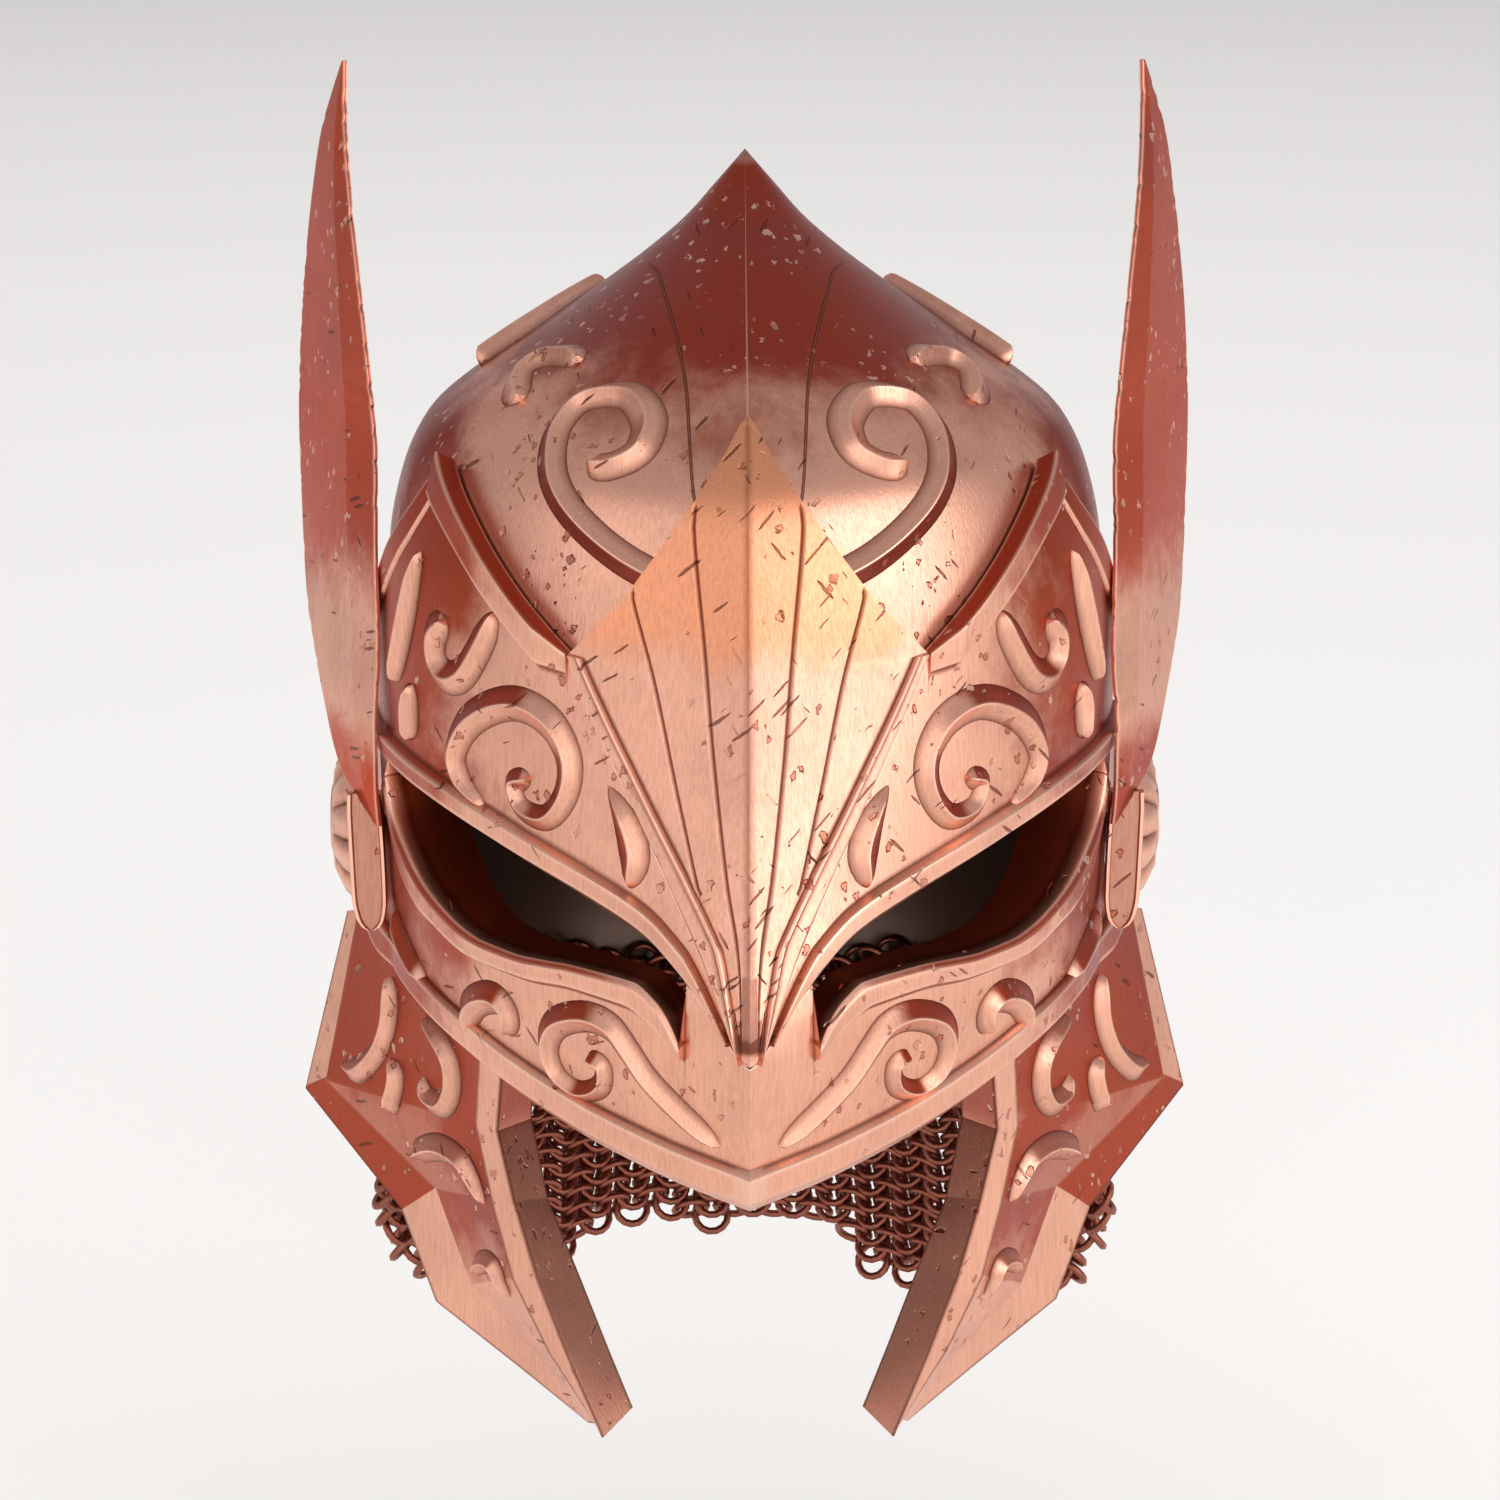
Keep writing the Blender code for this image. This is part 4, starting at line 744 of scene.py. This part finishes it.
# %% Cheek guards
GUARD_DROP, GUARD_SAG, GUARD_STEP, GUARD_STEP_SPAN = 0.1450, 0.0008, 0.0016, 0.024
GUARD_FOLDS = {
    "rim": [(1.148, 0.086, -0.166), (1.286, 0.086, -0.552), (0.990, -0.157, -0.717),
            (0.887, -0.257, -0.876), (0.640, -0.429, -0.941), (0.443, -0.571, -0.993)],
    "rim_fold": [(1.113, 0.057, -0.152), (1.217, 0.029, -0.510), (0.882, -0.243, -0.634),
                 (0.778, -0.329, -0.810), (0.596, -0.471, -0.886), (0.437, -0.593, -0.976)],
    "border": [(0.724, -0.479, -0.152), (0.749, -0.429, -0.428), (0.704, -0.479, -0.572),
               (0.650, -0.521, -0.710), (0.552, -0.571, -0.841), (0.420, -0.629, -0.969)],
    "ridge": [(0.650, -0.543, -0.152), (0.685, -0.486, -0.414), (0.640, -0.521, -0.545),
              (0.576, -0.564, -0.690), (0.498, -0.607, -0.824), (0.399, -0.643, -0.990)],
    "return": [(0.571, -0.429, -0.152), (0.596, -0.371, -0.434), (0.552, -0.414, -0.586),
               (0.463, -0.464, -0.731), (0.384, -0.514, -0.862), (0.318, -0.557, -0.966)],
}
GUARD_SCROLLS = [
    [(0.300, 0.250, 0.6), (0.335, 0.400, 1.0), (0.345, 0.540, 1.0), (0.320, 0.690, 1.0),
     (0.265, 0.810, 1.0), (0.190, 0.890, 1.0), (0.090, 0.880, 0.4)],
    [(0.398, 0.740, 0.6), (0.450, 0.860, 1.0), (0.420, 1.040, 1.0), (0.320, 1.120, 0.5)],
    [(0.573, 0.402, 0.5), (0.690, 0.474, 1.0), (0.790, 0.613, 1.1), (0.810, 0.790, 1.1),
     (0.760, 0.930, 1.0), (0.660, 0.900, 0.9), (0.620, 0.780, 0.5)],
    [(0.180, 1.700, 0.5), (0.300, 1.600, 0.9), (0.580, 1.470, 1.1), (0.740, 1.540, 1.0),
     (0.780, 1.750, 0.9), (0.780, 2.050, 0.5)],
    [(0.180, 2.880, 0.5), (0.360, 2.780, 0.8), (0.580, 2.780, 0.9), (0.660, 2.930, 0.8),
     (0.620, 3.250, 0.4)],
]


def fold_line(line, down, side):
    rows = np.array(GUARD_FOLDS[line]) * (side * HALF_WIDTH, NOSE_REACH, GUARD_DROP)
    return np.stack([np.interp(down, np.arange(len(rows)), rows[:, k]) for k in range(3)], -1)


def guard_field(across, down, side, sunk=True):
    """The field between the chamfer and the front border, sunk a little below both."""
    rear, ahead = fold_line("rim_fold", down, side), fold_line("border", down, side)
    rise = (fold_line("rim_fold", down - 0.02, side) - fold_line("rim_fold", down + 0.02, side)
            + fold_line("border", down - 0.02, side) - fold_line("border", down + 0.02, side))
    out = unit(np.cross(ahead - rear, rise)) * -side
    sag = GUARD_SAG * 4 * across * (1 - across) * np.maximum(0, 1 - down)
    wide = np.clip(np.linalg.norm(ahead - rear, axis=-1) / GUARD_STEP_SPAN, 0, 1)
    sink = GUARD_STEP * wide * across * (across < 0.99) if sunk else 0 * across
    return rear + (ahead - rear) * across[:, None] - out * (sag + sink)[:, None]


def on_guard(side):
    def place(across, down):
        near = 0.02
        right = guard_field(across + near, down, side, False) - guard_field(across - near, down, side, False)
        up = guard_field(across, down - near, side, False) - guard_field(across, down + near, side, False)
        return guard_field(across, down, side), unit(np.cross(right, up)) * -side
    return place


FIELD_PLACES = (0.0, 0.10, 0.25, 0.40, 0.55, 0.70, 0.85, 0.985)
# Painted shade and painted light by facet: positive values paint a part deep red, negative values paint it paler.
GUARD_PAINTED_SHADING = {  # along the guard: how red the chamfer, field, border and return are
    "chamfer": ((0.98, 1.00, 2.00, 2.02), (-1.0, 1.0, 1.0, -1.0)),
    "field": ((2.2, 3.2), (0.70, -0.2)),
    "border": ((0.0, 4.0), (-0.5, -0.7)),
    "return": ((0.9, 1.1, 3.0, 5.0), (0.9, 0.35, 0.0, -0.6)),
}
for label, side in SIDES:
    down = np.unique(np.concatenate([np.linspace(0, 5, 61), *[[k - 0.02, k + 0.02] for k in range(1, 5)]]))
    lines = {}
    for sunk in (True, False):
        line = [fold_line("rim", down, side)]
        line += [guard_field(np.full(len(down), across), down, side, sunk) for across in FIELD_PLACES]
        line += [fold_line(name, down, side) for name in ("border", "ridge", "return")]
        lines[sunk] = np.stack(line, 1)
    plain = lines[False]
    thin = (1 - 0.8 * np.maximum(0.0, down - 3) / 2)[:, None]
    backs = []
    for k in range(plain.shape[1]):
        before = unit(plain[:, max(k, 1)] - plain[:, max(k, 1) - 1])
        after = unit(plain[:, min(k + 1, plain.shape[1] - 1)] - plain[:, min(k, plain.shape[1] - 2)])
        along = -np.gradient(plain[:, k], axis=0)
        normal = unit(np.cross(before + after, along)) * -side
        lean = np.abs((normal * unit(np.cross(before, along))).sum(-1, keepdims=True))
        backs.append(plain[:, k] - normal * GUARD_WALL * thin / np.maximum(lean, 0.6))
    loops = np.concatenate([lines[True], np.stack(backs[::-1], 1)], 1)
    marked = [k in (0, 1, 8, 9, 10, 11, 12, 23) for k in range(loops.shape[1])]
    points, wear, oxide_and_shade = soften(loops if side > 0 else loops[::-1], marked)
    # Painted shading of the chamfer, field, border and return, set along the guard.
    painted_shading = np.zeros_like(oxide_and_shade)
    for part, columns in (("chamfer", slice(0, 8)), ("field", slice(8, 18)), ("border", slice(21, 28)),
                          ("return", slice(28, 36))):
        tone = np.interp(down, *GUARD_PAINTED_SHADING[part])
        painted_shading[:, columns] = (tone if side > 0 else tone[::-1])[:, None]
    # Painted shade: the back of the plate is darkened with the oxide colour.
    inside = np.zeros_like(oxide_and_shade)
    inside[:, 37:50] = 0.7
    plate = join_sections(points, wear, np.maximum(oxide_and_shade, inside), painted_shading=painted_shading)
    # Painted light: the guard scrolls get negative painted shading, which paints them paler.
    bands = [band(rows, on_guard(side), painted_shading=-0.35) for rows in GUARD_SCROLLS]
    make_piece("cheek_guard_plate_" + label, [plate] + bands, FINISH["guard"],
               "cheek_guard_" + label, crisp=20)

# %% [markdown]
# ## The ear bosses
#
# A boss is a faceted disc, like a flower of petals seen from the side, on a hub. It is
# turned from one profile, but the outer rings wave in and out twelve times, and each
# petal has a crisp middle. A small rimmed tongue in front of it backs the wing's foot.

# %% Ear bosses
BOSS_RADIUS, BOSS_DEPTH, HUB_RADIUS = 0.0265, 0.0130, 0.0080
BOSS_MIDDLE = np.array([0.0, 0.006, 0.007])
BOSS_BACK, PETALS = 0.1064, 12
BOSS_PROFILE = [(HUB_RADIUS, None, 0, 0), (HUB_RADIUS, 0.0, 0, 0), (0.93 * BOSS_RADIUS, 0.0, 0.3, 0),
                (0.99 * BOSS_RADIUS, 0.06, 1.0, 0), (1.00 * BOSS_RADIUS, 0.24, 1.0, 0),
                (0.97 * BOSS_RADIUS, 0.34, 1.0, 0.5), (0.80 * BOSS_RADIUS, 0.70, 0.9, 1.0),
                (0.60 * BOSS_RADIUS, 0.90, 0.5, 0.6), (0.50 * BOSS_RADIUS, 0.92, 0.0, 0.0),
                (0.46 * BOSS_RADIUS, 0.84, 0.0, 0.0), (0.40 * BOSS_RADIUS, 0.84, 0.0, 0.0),
                (0.36 * BOSS_RADIUS, 0.98, 0.0, 0.0), (0.20 * BOSS_RADIUS, 1.0, 0.0, 0.0),
                (0.02 * BOSS_RADIUS, 0.93, 0.0, 0.0)]
seat = HALF_WIDTH * float(eased(SECTIONS, 1, (BOSS_MIDDLE[2] + HUB_RADIUS) / CROWN_HEIGHT)) + GAP
for label, side in SIDES:
    angle = np.linspace(0, 2 * math.pi, PETALS * 12, endpoint=False)
    wave = np.abs(np.sin(angle * PETALS / 2))
    points, wear, oxide_and_shade = [], [], []
    for radius, rise, notch, ridge in BOSS_PROFILE:
        spread = radius * (1 - 0.075 * notch * (1 - wave) ** 3)
        x = seat if rise is None else BOSS_BACK + BOSS_DEPTH * (rise - 0.10 * ridge * (1 - wave))
        points.append(np.stack(np.broadcast_arrays(side * x, BOSS_MIDDLE[1] + spread * np.cos(angle),
                                                   BOSS_MIDDLE[2] + spread * np.sin(angle)), -1))
        wear.append(0.6 * ridge * wave**8)
        # Oxide in the notches and in the groove round the hub; the ring where the boss meets the head gets painted
        # shade.
        oxide_and_shade.append((1 - wave) ** 3 * max(ridge, 0.4 * notch) + (0.8 if rise in (None, 0.84) else 0))
    rosette = join_sections(np.stack(points), np.stack(wear), np.stack(oxide_and_shade))
    make_piece("ear_rosette_" + label, [rosette], FINISH["boss"], "ear_boss_" + label, crisp=24)

# %% Tongues in front of the bosses
TONGUE = [  # height, middle and half width across, all in metres
    (0.024, 0.1078, 0.0046), (0.018, 0.1075, 0.0050), (0.006, 0.1070, 0.0051), (-0.006, 0.1066, 0.0050),
    (-0.011, 0.1064, 0.0043), (-0.0140, 0.1063, 0.0030), (-0.0152, 0.1063, 0.0010)]
TONGUE_FRONT, TONGUE_DEPTH, TONGUE_RIM = -0.0275, 0.0022, 0.0012
for label, side in SIDES:
    z = np.linspace(TONGUE[0][0], TONGUE[-1][0], 40)
    rows = TONGUE[::-1]
    middle, half = eased(rows, 1, z), eased(rows, 2, z)
    edge = np.minimum(0.0011, 0.45 * half)
    profile = [(-half, 0.0), (-half + 0.3 * edge, TONGUE_RIM), (-half + edge, TONGUE_RIM), (-half + 1.4 * edge, 0.0),
               (half - 1.4 * edge, 0.0), (half - edge, TONGUE_RIM), (half - 0.3 * edge, TONGUE_RIM), (half, 0.0),
               (half, -TONGUE_DEPTH), (-half, -TONGUE_DEPTH)]
    points = np.stack([np.stack([side * (middle + x), TONGUE_FRONT - rise + 0.10 * (z + 0.015), z], -1)
                       for x, rise in profile], 1)
    # Oxide at the feet of the rims; painted shade on the back edge, against the head.
    tongue = join_sections(points, np.zeros(points.shape[:2]) + [0, .4, .4, 0, 0, .4, .4, 0, 0, 0],
                           np.zeros(points.shape[:2]) + [.3, 0, 0, .5, .5, 0, 0, .3, .6, .6])
    make_piece("ear_tongue_" + label, [tongue], FINISH["boss"], None, crisp=24)

# %% [markdown]
# ## The wings
#
# A wing is a tall thin blade with a fold along it, so that it mirrors two strips of
# light. Its edges are nicked from use. The stations go from the foot on the boss to
# the point; the nicks move the edge points a little inwards, never outwards.

# %% Wings
WING_HEIGHT, WING_RIDGE, WING_EDGE = 0.2210, 0.28, 0.0012
WING = [  # height, leading edge x and y, trailing edge x and y, thickness at the ridge
    (0.078, 1.011, -0.145, 1.025, -0.131, 0.0016), (0.136, 1.016, -0.149, 1.128, -0.068, 0.0030),
    (0.204, 1.016, -0.147, 1.177, -0.009, 0.0040), (0.317, 1.002, -0.133, 1.234, 0.081, 0.0046),
    (0.410, 1.006, -0.118, 1.252, 0.140, 0.0048), (0.543, 1.009, -0.059, 1.261, 0.181, 0.0048),
    (0.656, 1.033, -0.014, 1.251, 0.204, 0.0046), (0.747, 1.059, 0.032, 1.232, 0.213, 0.0042),
    (0.837, 1.084, 0.081, 1.205, 0.208, 0.0038), (0.905, 1.097, 0.118, 1.177, 0.199, 0.0032),
    (0.959, 1.101, 0.145, 1.140, 0.183, 0.0026), (1.000, 1.101, 0.161, 1.108, 0.167, 0.0016),
]
for label, side in SIDES:
    chance = np.random.default_rng(5 + side)
    share = np.linspace(WING[0][0], 1.0, 190)
    lead_x, lead_y, trail_x, trail_y, thick = (eased(WING, k, share) for k in (1, 2, 3, 4, 5))
    z = share * WING_HEIGHT
    lead = np.stack([side * lead_x * HALF_WIDTH, lead_y * WING_HEIGHT, z], -1)
    trail = np.stack([side * trail_x * HALF_WIDTH, trail_y * WING_HEIGHT, z], -1)
    width = np.linalg.norm(trail - lead, axis=-1)
    chord = unit(trail - lead)
    across = np.stack([-chord[:, 1], chord[:, 0], 0 * z], -1) * -side
    nicks = []
    for _ in range(2):
        nick = np.zeros(len(share))
        for at, deep, reach in zip(chance.uniform(0.2, 0.97, 26), chance.uniform(0.0003, 0.0010, 26),
                                   chance.uniform(0.004, 0.009, 26)):
            nick = np.maximum(nick, deep * np.clip(1 - np.abs(share - at) / reach, 0, 1))
        nicks.append((np.minimum(nick, 0.2 * width))[:, None])
    lead, trail = lead + chord * nicks[0], trail - chord * nicks[1]
    fold = lead * (1 - WING_RIDGE) + trail * WING_RIDGE
    edge = across * (np.minimum(WING_EDGE, thick) / 2)[:, None]
    ridge = across * (thick / 2)[:, None]
    flank = trail * 0.55 + fold * 0.45
    hollow = across * (0.36 * thick)[:, None]
    loops = np.stack([lead + edge, fold + ridge, flank + hollow, trail + edge, trail - edge,
                      flank - hollow, fold - ridge, lead - edge], 1)
    marked = [True, True, False, True, True, False, True, True]
    points, wear, oxide_and_shade = soften(loops if side < 0 else loops[::-1], marked, radius=0.0003, fade=0.0010)
    make_piece("ear_wing_" + label, [join_sections(points, wear, oxide_and_shade)], FINISH["wing"],
               "wing_" + label, crisp=24)

# %% [markdown]
# ## The mail curtain
#
# Mail is rings, each linked through four others, so it repeats hundreds of times:
# this is what Geometry Nodes are for. The points of the weave are laid out in rows
# over the curtain's form; each carries its row, the way out of the curtain and the way
# down. The tree turns a ring at each point, leans every other row the other way so
# that the rings link, shakes them a little with a fixed seed, and makes them real.

# %% Ring tree
def ring_tree():
    tree = bpy.data.node_groups.new("mail_rings", "GeometryNodeTree")
    sockets = tree.interface
    sockets.new_socket("Geometry", in_out="INPUT", socket_type="NodeSocketGeometry")
    for name, kind, value in (("Ring radius", "NodeSocketFloat", 0.0043), ("Wire radius", "NodeSocketFloat", 0.0009),
                              ("Lean", "NodeSocketFloat", 0.62), ("Unevenness", "NodeSocketFloat", 0.05),
                              ("Seed", "NodeSocketInt", 11), ("Finish", "NodeSocketMaterial", None)):
        socket = sockets.new_socket(name, in_out="INPUT", socket_type=kind)
        if value is not None:
            socket.default_value = value
    sockets.new_socket("Geometry", in_out="OUTPUT", socket_type="NodeSocketGeometry")
    t = NodeTree(tree)
    given = tree.nodes.new("NodeGroupInput").outputs
    circle = t.add("GeometryNodeCurvePrimitiveCircle", i0=14, Radius=given["Ring radius"])
    wire = t.add("GeometryNodeCurvePrimitiveCircle", i0=5, Radius=given["Wire radius"])
    ring = t.add("GeometryNodeCurveToMesh", i0=circle.outputs[0])
    tree.links.new(wire.outputs[0], ring.inputs["Profile Curve"])
    ways = {}
    for name, kind in (("way_out", "FLOAT_VECTOR"), ("way_down", "FLOAT_VECTOR"), ("row_sign", "FLOAT"), ("ring_size", "FLOAT")):
        ways[name] = t.add("GeometryNodeInputNamedAttribute", {"data_type": kind}, Name=name).outputs[0]
    facing = t.add("FunctionNodeAlignRotationToVector", {"axis": "Z"}, Vector=ways["way_out"])
    hanging = t.add("FunctionNodeAlignRotationToVector", {"axis": "Y", "pivot_axis": "Z"},
                    Rotation=facing.outputs[0], Vector=ways["way_down"])
    lean = t.math("MULTIPLY", given["Lean"], ways["row_sign"])
    chance = t.add("FunctionNodeRandomValue", {"data_type": "FLOAT_VECTOR"}, Seed=given["Seed"])
    chance.inputs[0].default_value, chance.inputs[1].default_value = (-1, -1, -1), (1, 1, 1)
    shake = t.add("ShaderNodeVectorMath", {"operation": "SCALE"}, i0=chance.outputs[0], Scale=given["Unevenness"])
    tip = t.add("ShaderNodeCombineXYZ", X=lean)
    both = t.add("ShaderNodeVectorMath", {"operation": "ADD"}, i0=tip.outputs[0], i1=shake.outputs[0])
    turned = t.add("FunctionNodeRotateRotation", {"rotation_space": "LOCAL"}, Rotation=hanging.outputs[0])
    tree.links.new(both.outputs[0], turned.inputs[1])
    spread = t.add("GeometryNodeInstanceOnPoints", Points=given["Geometry"], Instance=ring.outputs[0],
                   Rotation=turned.outputs[0], Scale=ways["ring_size"])
    real = t.add("GeometryNodeRealizeInstances", Geometry=spread.outputs[0])
    smooth = t.add("GeometryNodeSetShadeSmooth", Geometry=real.outputs[0])
    finished = t.add("GeometryNodeSetMaterial", Geometry=smooth.outputs[0], Material=given["Finish"])
    tree.links.new(finished.outputs[0], tree.nodes.new("NodeGroupOutput").inputs[0])
    return tree


# %% Mail curtain
MAIL_LAP, MAIL_FALL, MAIL_WALL, MAIL_SEAT = 0.0100, 0.0042, 0.0040, 0.0018
MAIL_SPREAD = [(0.00, 0.000), (0.25, 0.005), (0.55, 0.010), (1.00, 0.0130)]
MAIL_SIDE, MAIL_SIDE_FLARE = (0.03, 0.28), 0.016
MAIL_FOOT = [(0.055, -0.60), (0.110, -0.72), (0.170, -0.84), (0.240, -0.86), (0.300, -0.87),
             (0.350, -0.84), (0.400, -0.83), (0.450, -0.86), (0.500, -0.84), (0.550, -0.86),
             (0.600, -0.85), (0.640, -0.91), (0.680, -0.93), (0.730, -0.92), (0.780, -0.87),
             (0.840, -0.85), (0.890, -0.72), (0.945, -0.60)]
RING_RADIUS, WIRE_RADIUS, RING_PITCH, ROW_DROP = 0.0044, 0.00104, 0.0112, 0.0025
RINGS_PER_ROW = 24
deepest = min(foot for _, foot in MAIL_FOOT) * CROWN_HEIGHT


def rim_over(share):
    """Height of the skull's rim over a place of the curtain."""
    return straight(SKULL_RIM, 1, 1 + 2 * np.minimum(share, 1 - share)) * CROWN_HEIGHT


def curtain(share, height):
    """Middle of the woven depth: share goes from the left ear round the back to the right."""
    angle = math.pi * (1 - share)
    held = np.maximum(height, rim_over(share)) / CROWN_HEIGHT
    neck = rim_over(share) - MAIL_FALL
    fallen = (neck - height) / (neck - deepest)
    spread = np.interp(fallen, *np.array(MAIL_SPREAD).T)
    beside = np.clip((np.minimum(share, 1 - share) - MAIL_SIDE[0]) / (MAIL_SIDE[1] - MAIL_SIDE[0]), 0, 1)
    spread = spread + MAIL_SIDE_FLARE * np.sin(math.pi * beside) * np.clip(1.6 * fallen, 0, 1)
    spread = spread - SKULL_WALL - MAIL_SEAT - MAIL_WALL / 2
    half = HALF_WIDTH * eased(SECTIONS, 1, held) + spread
    back = NAPE_REACH * eased(SECTIONS, 3, held) + spread
    return np.stack([half * np.cos(angle), back * np.sin(angle), height], -1)


places, outs, downs, signs, sizes = [], [], [], [], []
row = 0
height = float(rim_over(0.055)) + MAIL_LAP - RING_RADIUS
chance = np.random.default_rng(3)
fine = np.linspace(0.055, 0.945, 400)
while height > deepest:
    walk = curtain(fine, np.full(400, height))
    length = np.concatenate([[0], np.cumsum(np.linalg.norm(np.diff(walk, axis=0), axis=1))])
    pitch = length[-1] / RINGS_PER_ROW
    share = np.interp((np.arange(RINGS_PER_ROW) + 0.25 + 0.5 * (row % 2)) * pitch, length, fine)
    foot = straight(MAIL_FOOT, 1, share) * CROWN_HEIGHT + RING_RADIUS
    kept = height > foot + chance.uniform(0, 0.006, len(share)) * (height < foot + 0.02)
    share = share[kept & (height < rim_over(share) + MAIL_LAP - 0.5 * RING_RADIUS)]
    here = curtain(share, np.full(len(share), height))
    along = curtain(share + 1e-3, np.full(len(share), height)) - here
    down = curtain(share, np.full(len(share), height - 1e-3)) - here
    places.append(here)
    outs.append(unit(np.cross(along, down)))
    downs.append(unit(down))
    signs.append(np.full(len(share), 1.0 if row % 2 else -1.0))
    sizes.append(np.full(len(share), pitch / RING_PITCH))
    row, height = row + 1, height - ROW_DROP * pitch / RING_PITCH
places, outs, downs, signs, sizes = (np.concatenate(a) for a in (places, outs, downs, signs, sizes))
weave = bpy.data.meshes.new("weave")
weave.from_pydata(places.tolist(), [], [])
for name, kind, key, values in (("way_out", "FLOAT_VECTOR", "vector", outs), ("way_down", "FLOAT_VECTOR", "vector", downs),
                                ("row_sign", "FLOAT", "value", signs), ("ring_size", "FLOAT", "value", sizes)):
    weave.attributes.new(name, kind, "POINT").data.foreach_set(key, values.astype(np.float32).ravel())
guide = bpy.data.objects.new("weave_guide", weave)
bpy.context.scene.collection.objects.link(guide)
weaver = guide.modifiers.new("mail rings", "NODES")
weaver.node_group = ring_tree()
settings = {item.name: item.identifier for item in weaver.node_group.interface.items_tree
            if item.item_type == "SOCKET" and item.in_out == "INPUT"}
weaver[settings["Ring radius"]] = RING_RADIUS
weaver[settings["Wire radius"]] = WIRE_RADIUS
weaver[settings["Finish"]] = FINISH["mail"]
bpy.context.view_layer.update()
woven = bpy.data.meshes.new_from_object(guide.evaluated_get(bpy.context.evaluated_depsgraph_get()))
bpy.data.objects.remove(guide, do_unlink=True)
mail = bpy.data.objects.new("mail_rings", woven)
bpy.context.scene.collection.objects.link(mail)
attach(mail, "root")
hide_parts("mail_curtain")
woven.calc_loop_triangles()
print(f"mail: {len(places)} rings in {row} rows, {len(woven.loop_triangles)} triangles")

# %% [markdown]
# ## Floor, light and camera
#
# Polished metal shows what stands round it. A pale floor lights the parts that look
# down, a large soft panel in front lights the parts that look forward, and the dim
# room above leaves the crown dark. The overhead panel only lights the floor: it is
# hidden from reflections, or it would wipe out the deep red of the dome.

# %% Floor
floor_mesh = bpy.data.meshes.new("floor")
floor_mesh.from_pydata([(-4, -4, -0.30), (4, -4, -0.30), (4, 6, -0.30), (-4, 6, -0.30)], [], [(0, 1, 2, 3)])
floor = bpy.data.objects.new("floor", floor_mesh)
bpy.context.scene.collection.objects.link(floor)
floor_paint = bpy.data.materials.new("pale_floor")
floor_paint.use_nodes = True
floor_paint.node_tree.nodes["Principled BSDF"].inputs["Base Color"].default_value = (0.78, 0.77, 0.75, 1)
floor_paint.node_tree.nodes["Principled BSDF"].inputs["Roughness"].default_value = 0.8
floor_mesh.materials.append(floor_paint)


# %% Lights
def panel(name, place, aim, size, power, mirrored=True, tint=(1, 1, 1)):
    light = bpy.data.lights.new(name, "AREA")
    light.shape, light.size, light.size_y = "RECTANGLE", size[0], size[1]
    light.energy, light.color = power, tint
    lamp = bpy.data.objects.new(name, light)
    lamp.location = place
    lamp.rotation_euler = (Vector(aim) - Vector(place)).to_track_quat("-Z", "Y").to_euler()
    lamp.visible_glossy = mirrored
    bpy.context.scene.collection.objects.link(lamp)


panel("front_panel", (0.0, -2.1, 0.75), (0, 0, 0.03), (2.5, 2.4), 19)
panel("right_panel", (1.75, -1.05, 0.55), (0, 0, 0.03), (1.1, 1.5), 13)
panel("left_panel", (-1.75, -1.05, 0.55), (0, 0, 0.03), (1.1, 1.5), 3.5)
panel("overhead_panel", (0.0, 0.9, 2.6), (0, 0.9, 0), (4.6, 5.2), 92, mirrored=False)
world = bpy.data.worlds.new("dim_room")
bpy.context.scene.world = world
world.use_nodes = True
world.node_tree.nodes["Background"].inputs[0].default_value = (0.90, 0.88, 0.90, 1)
world.node_tree.nodes["Background"].inputs[1].default_value = 0.58
bpy.context.scene.view_settings.view_transform = "Standard"

# %% Camera
AZIMUTH, ELEVATION, DISTANCE, FRAME_WIDTH = -0.55, 18.0, 1.25, 0.430
TARGET = Vector((0.0014, 0.0, 0.029))
a, e = math.radians(AZIMUTH), math.radians(ELEVATION)
back = Vector((math.sin(a) * math.cos(e), -math.cos(a) * math.cos(e), math.sin(e)))
camera = bpy.data.objects.new("camera", bpy.data.cameras.new("camera"))
camera.data.sensor_width = 36.0
camera.data.lens = 36.0 * DISTANCE / FRAME_WIDTH
camera.location = TARGET + back * DISTANCE
camera.rotation_euler = (-back).to_track_quat("-Z", "Y").to_euler()
bpy.context.scene.collection.objects.link(camera)
bpy.context.scene.camera = camera
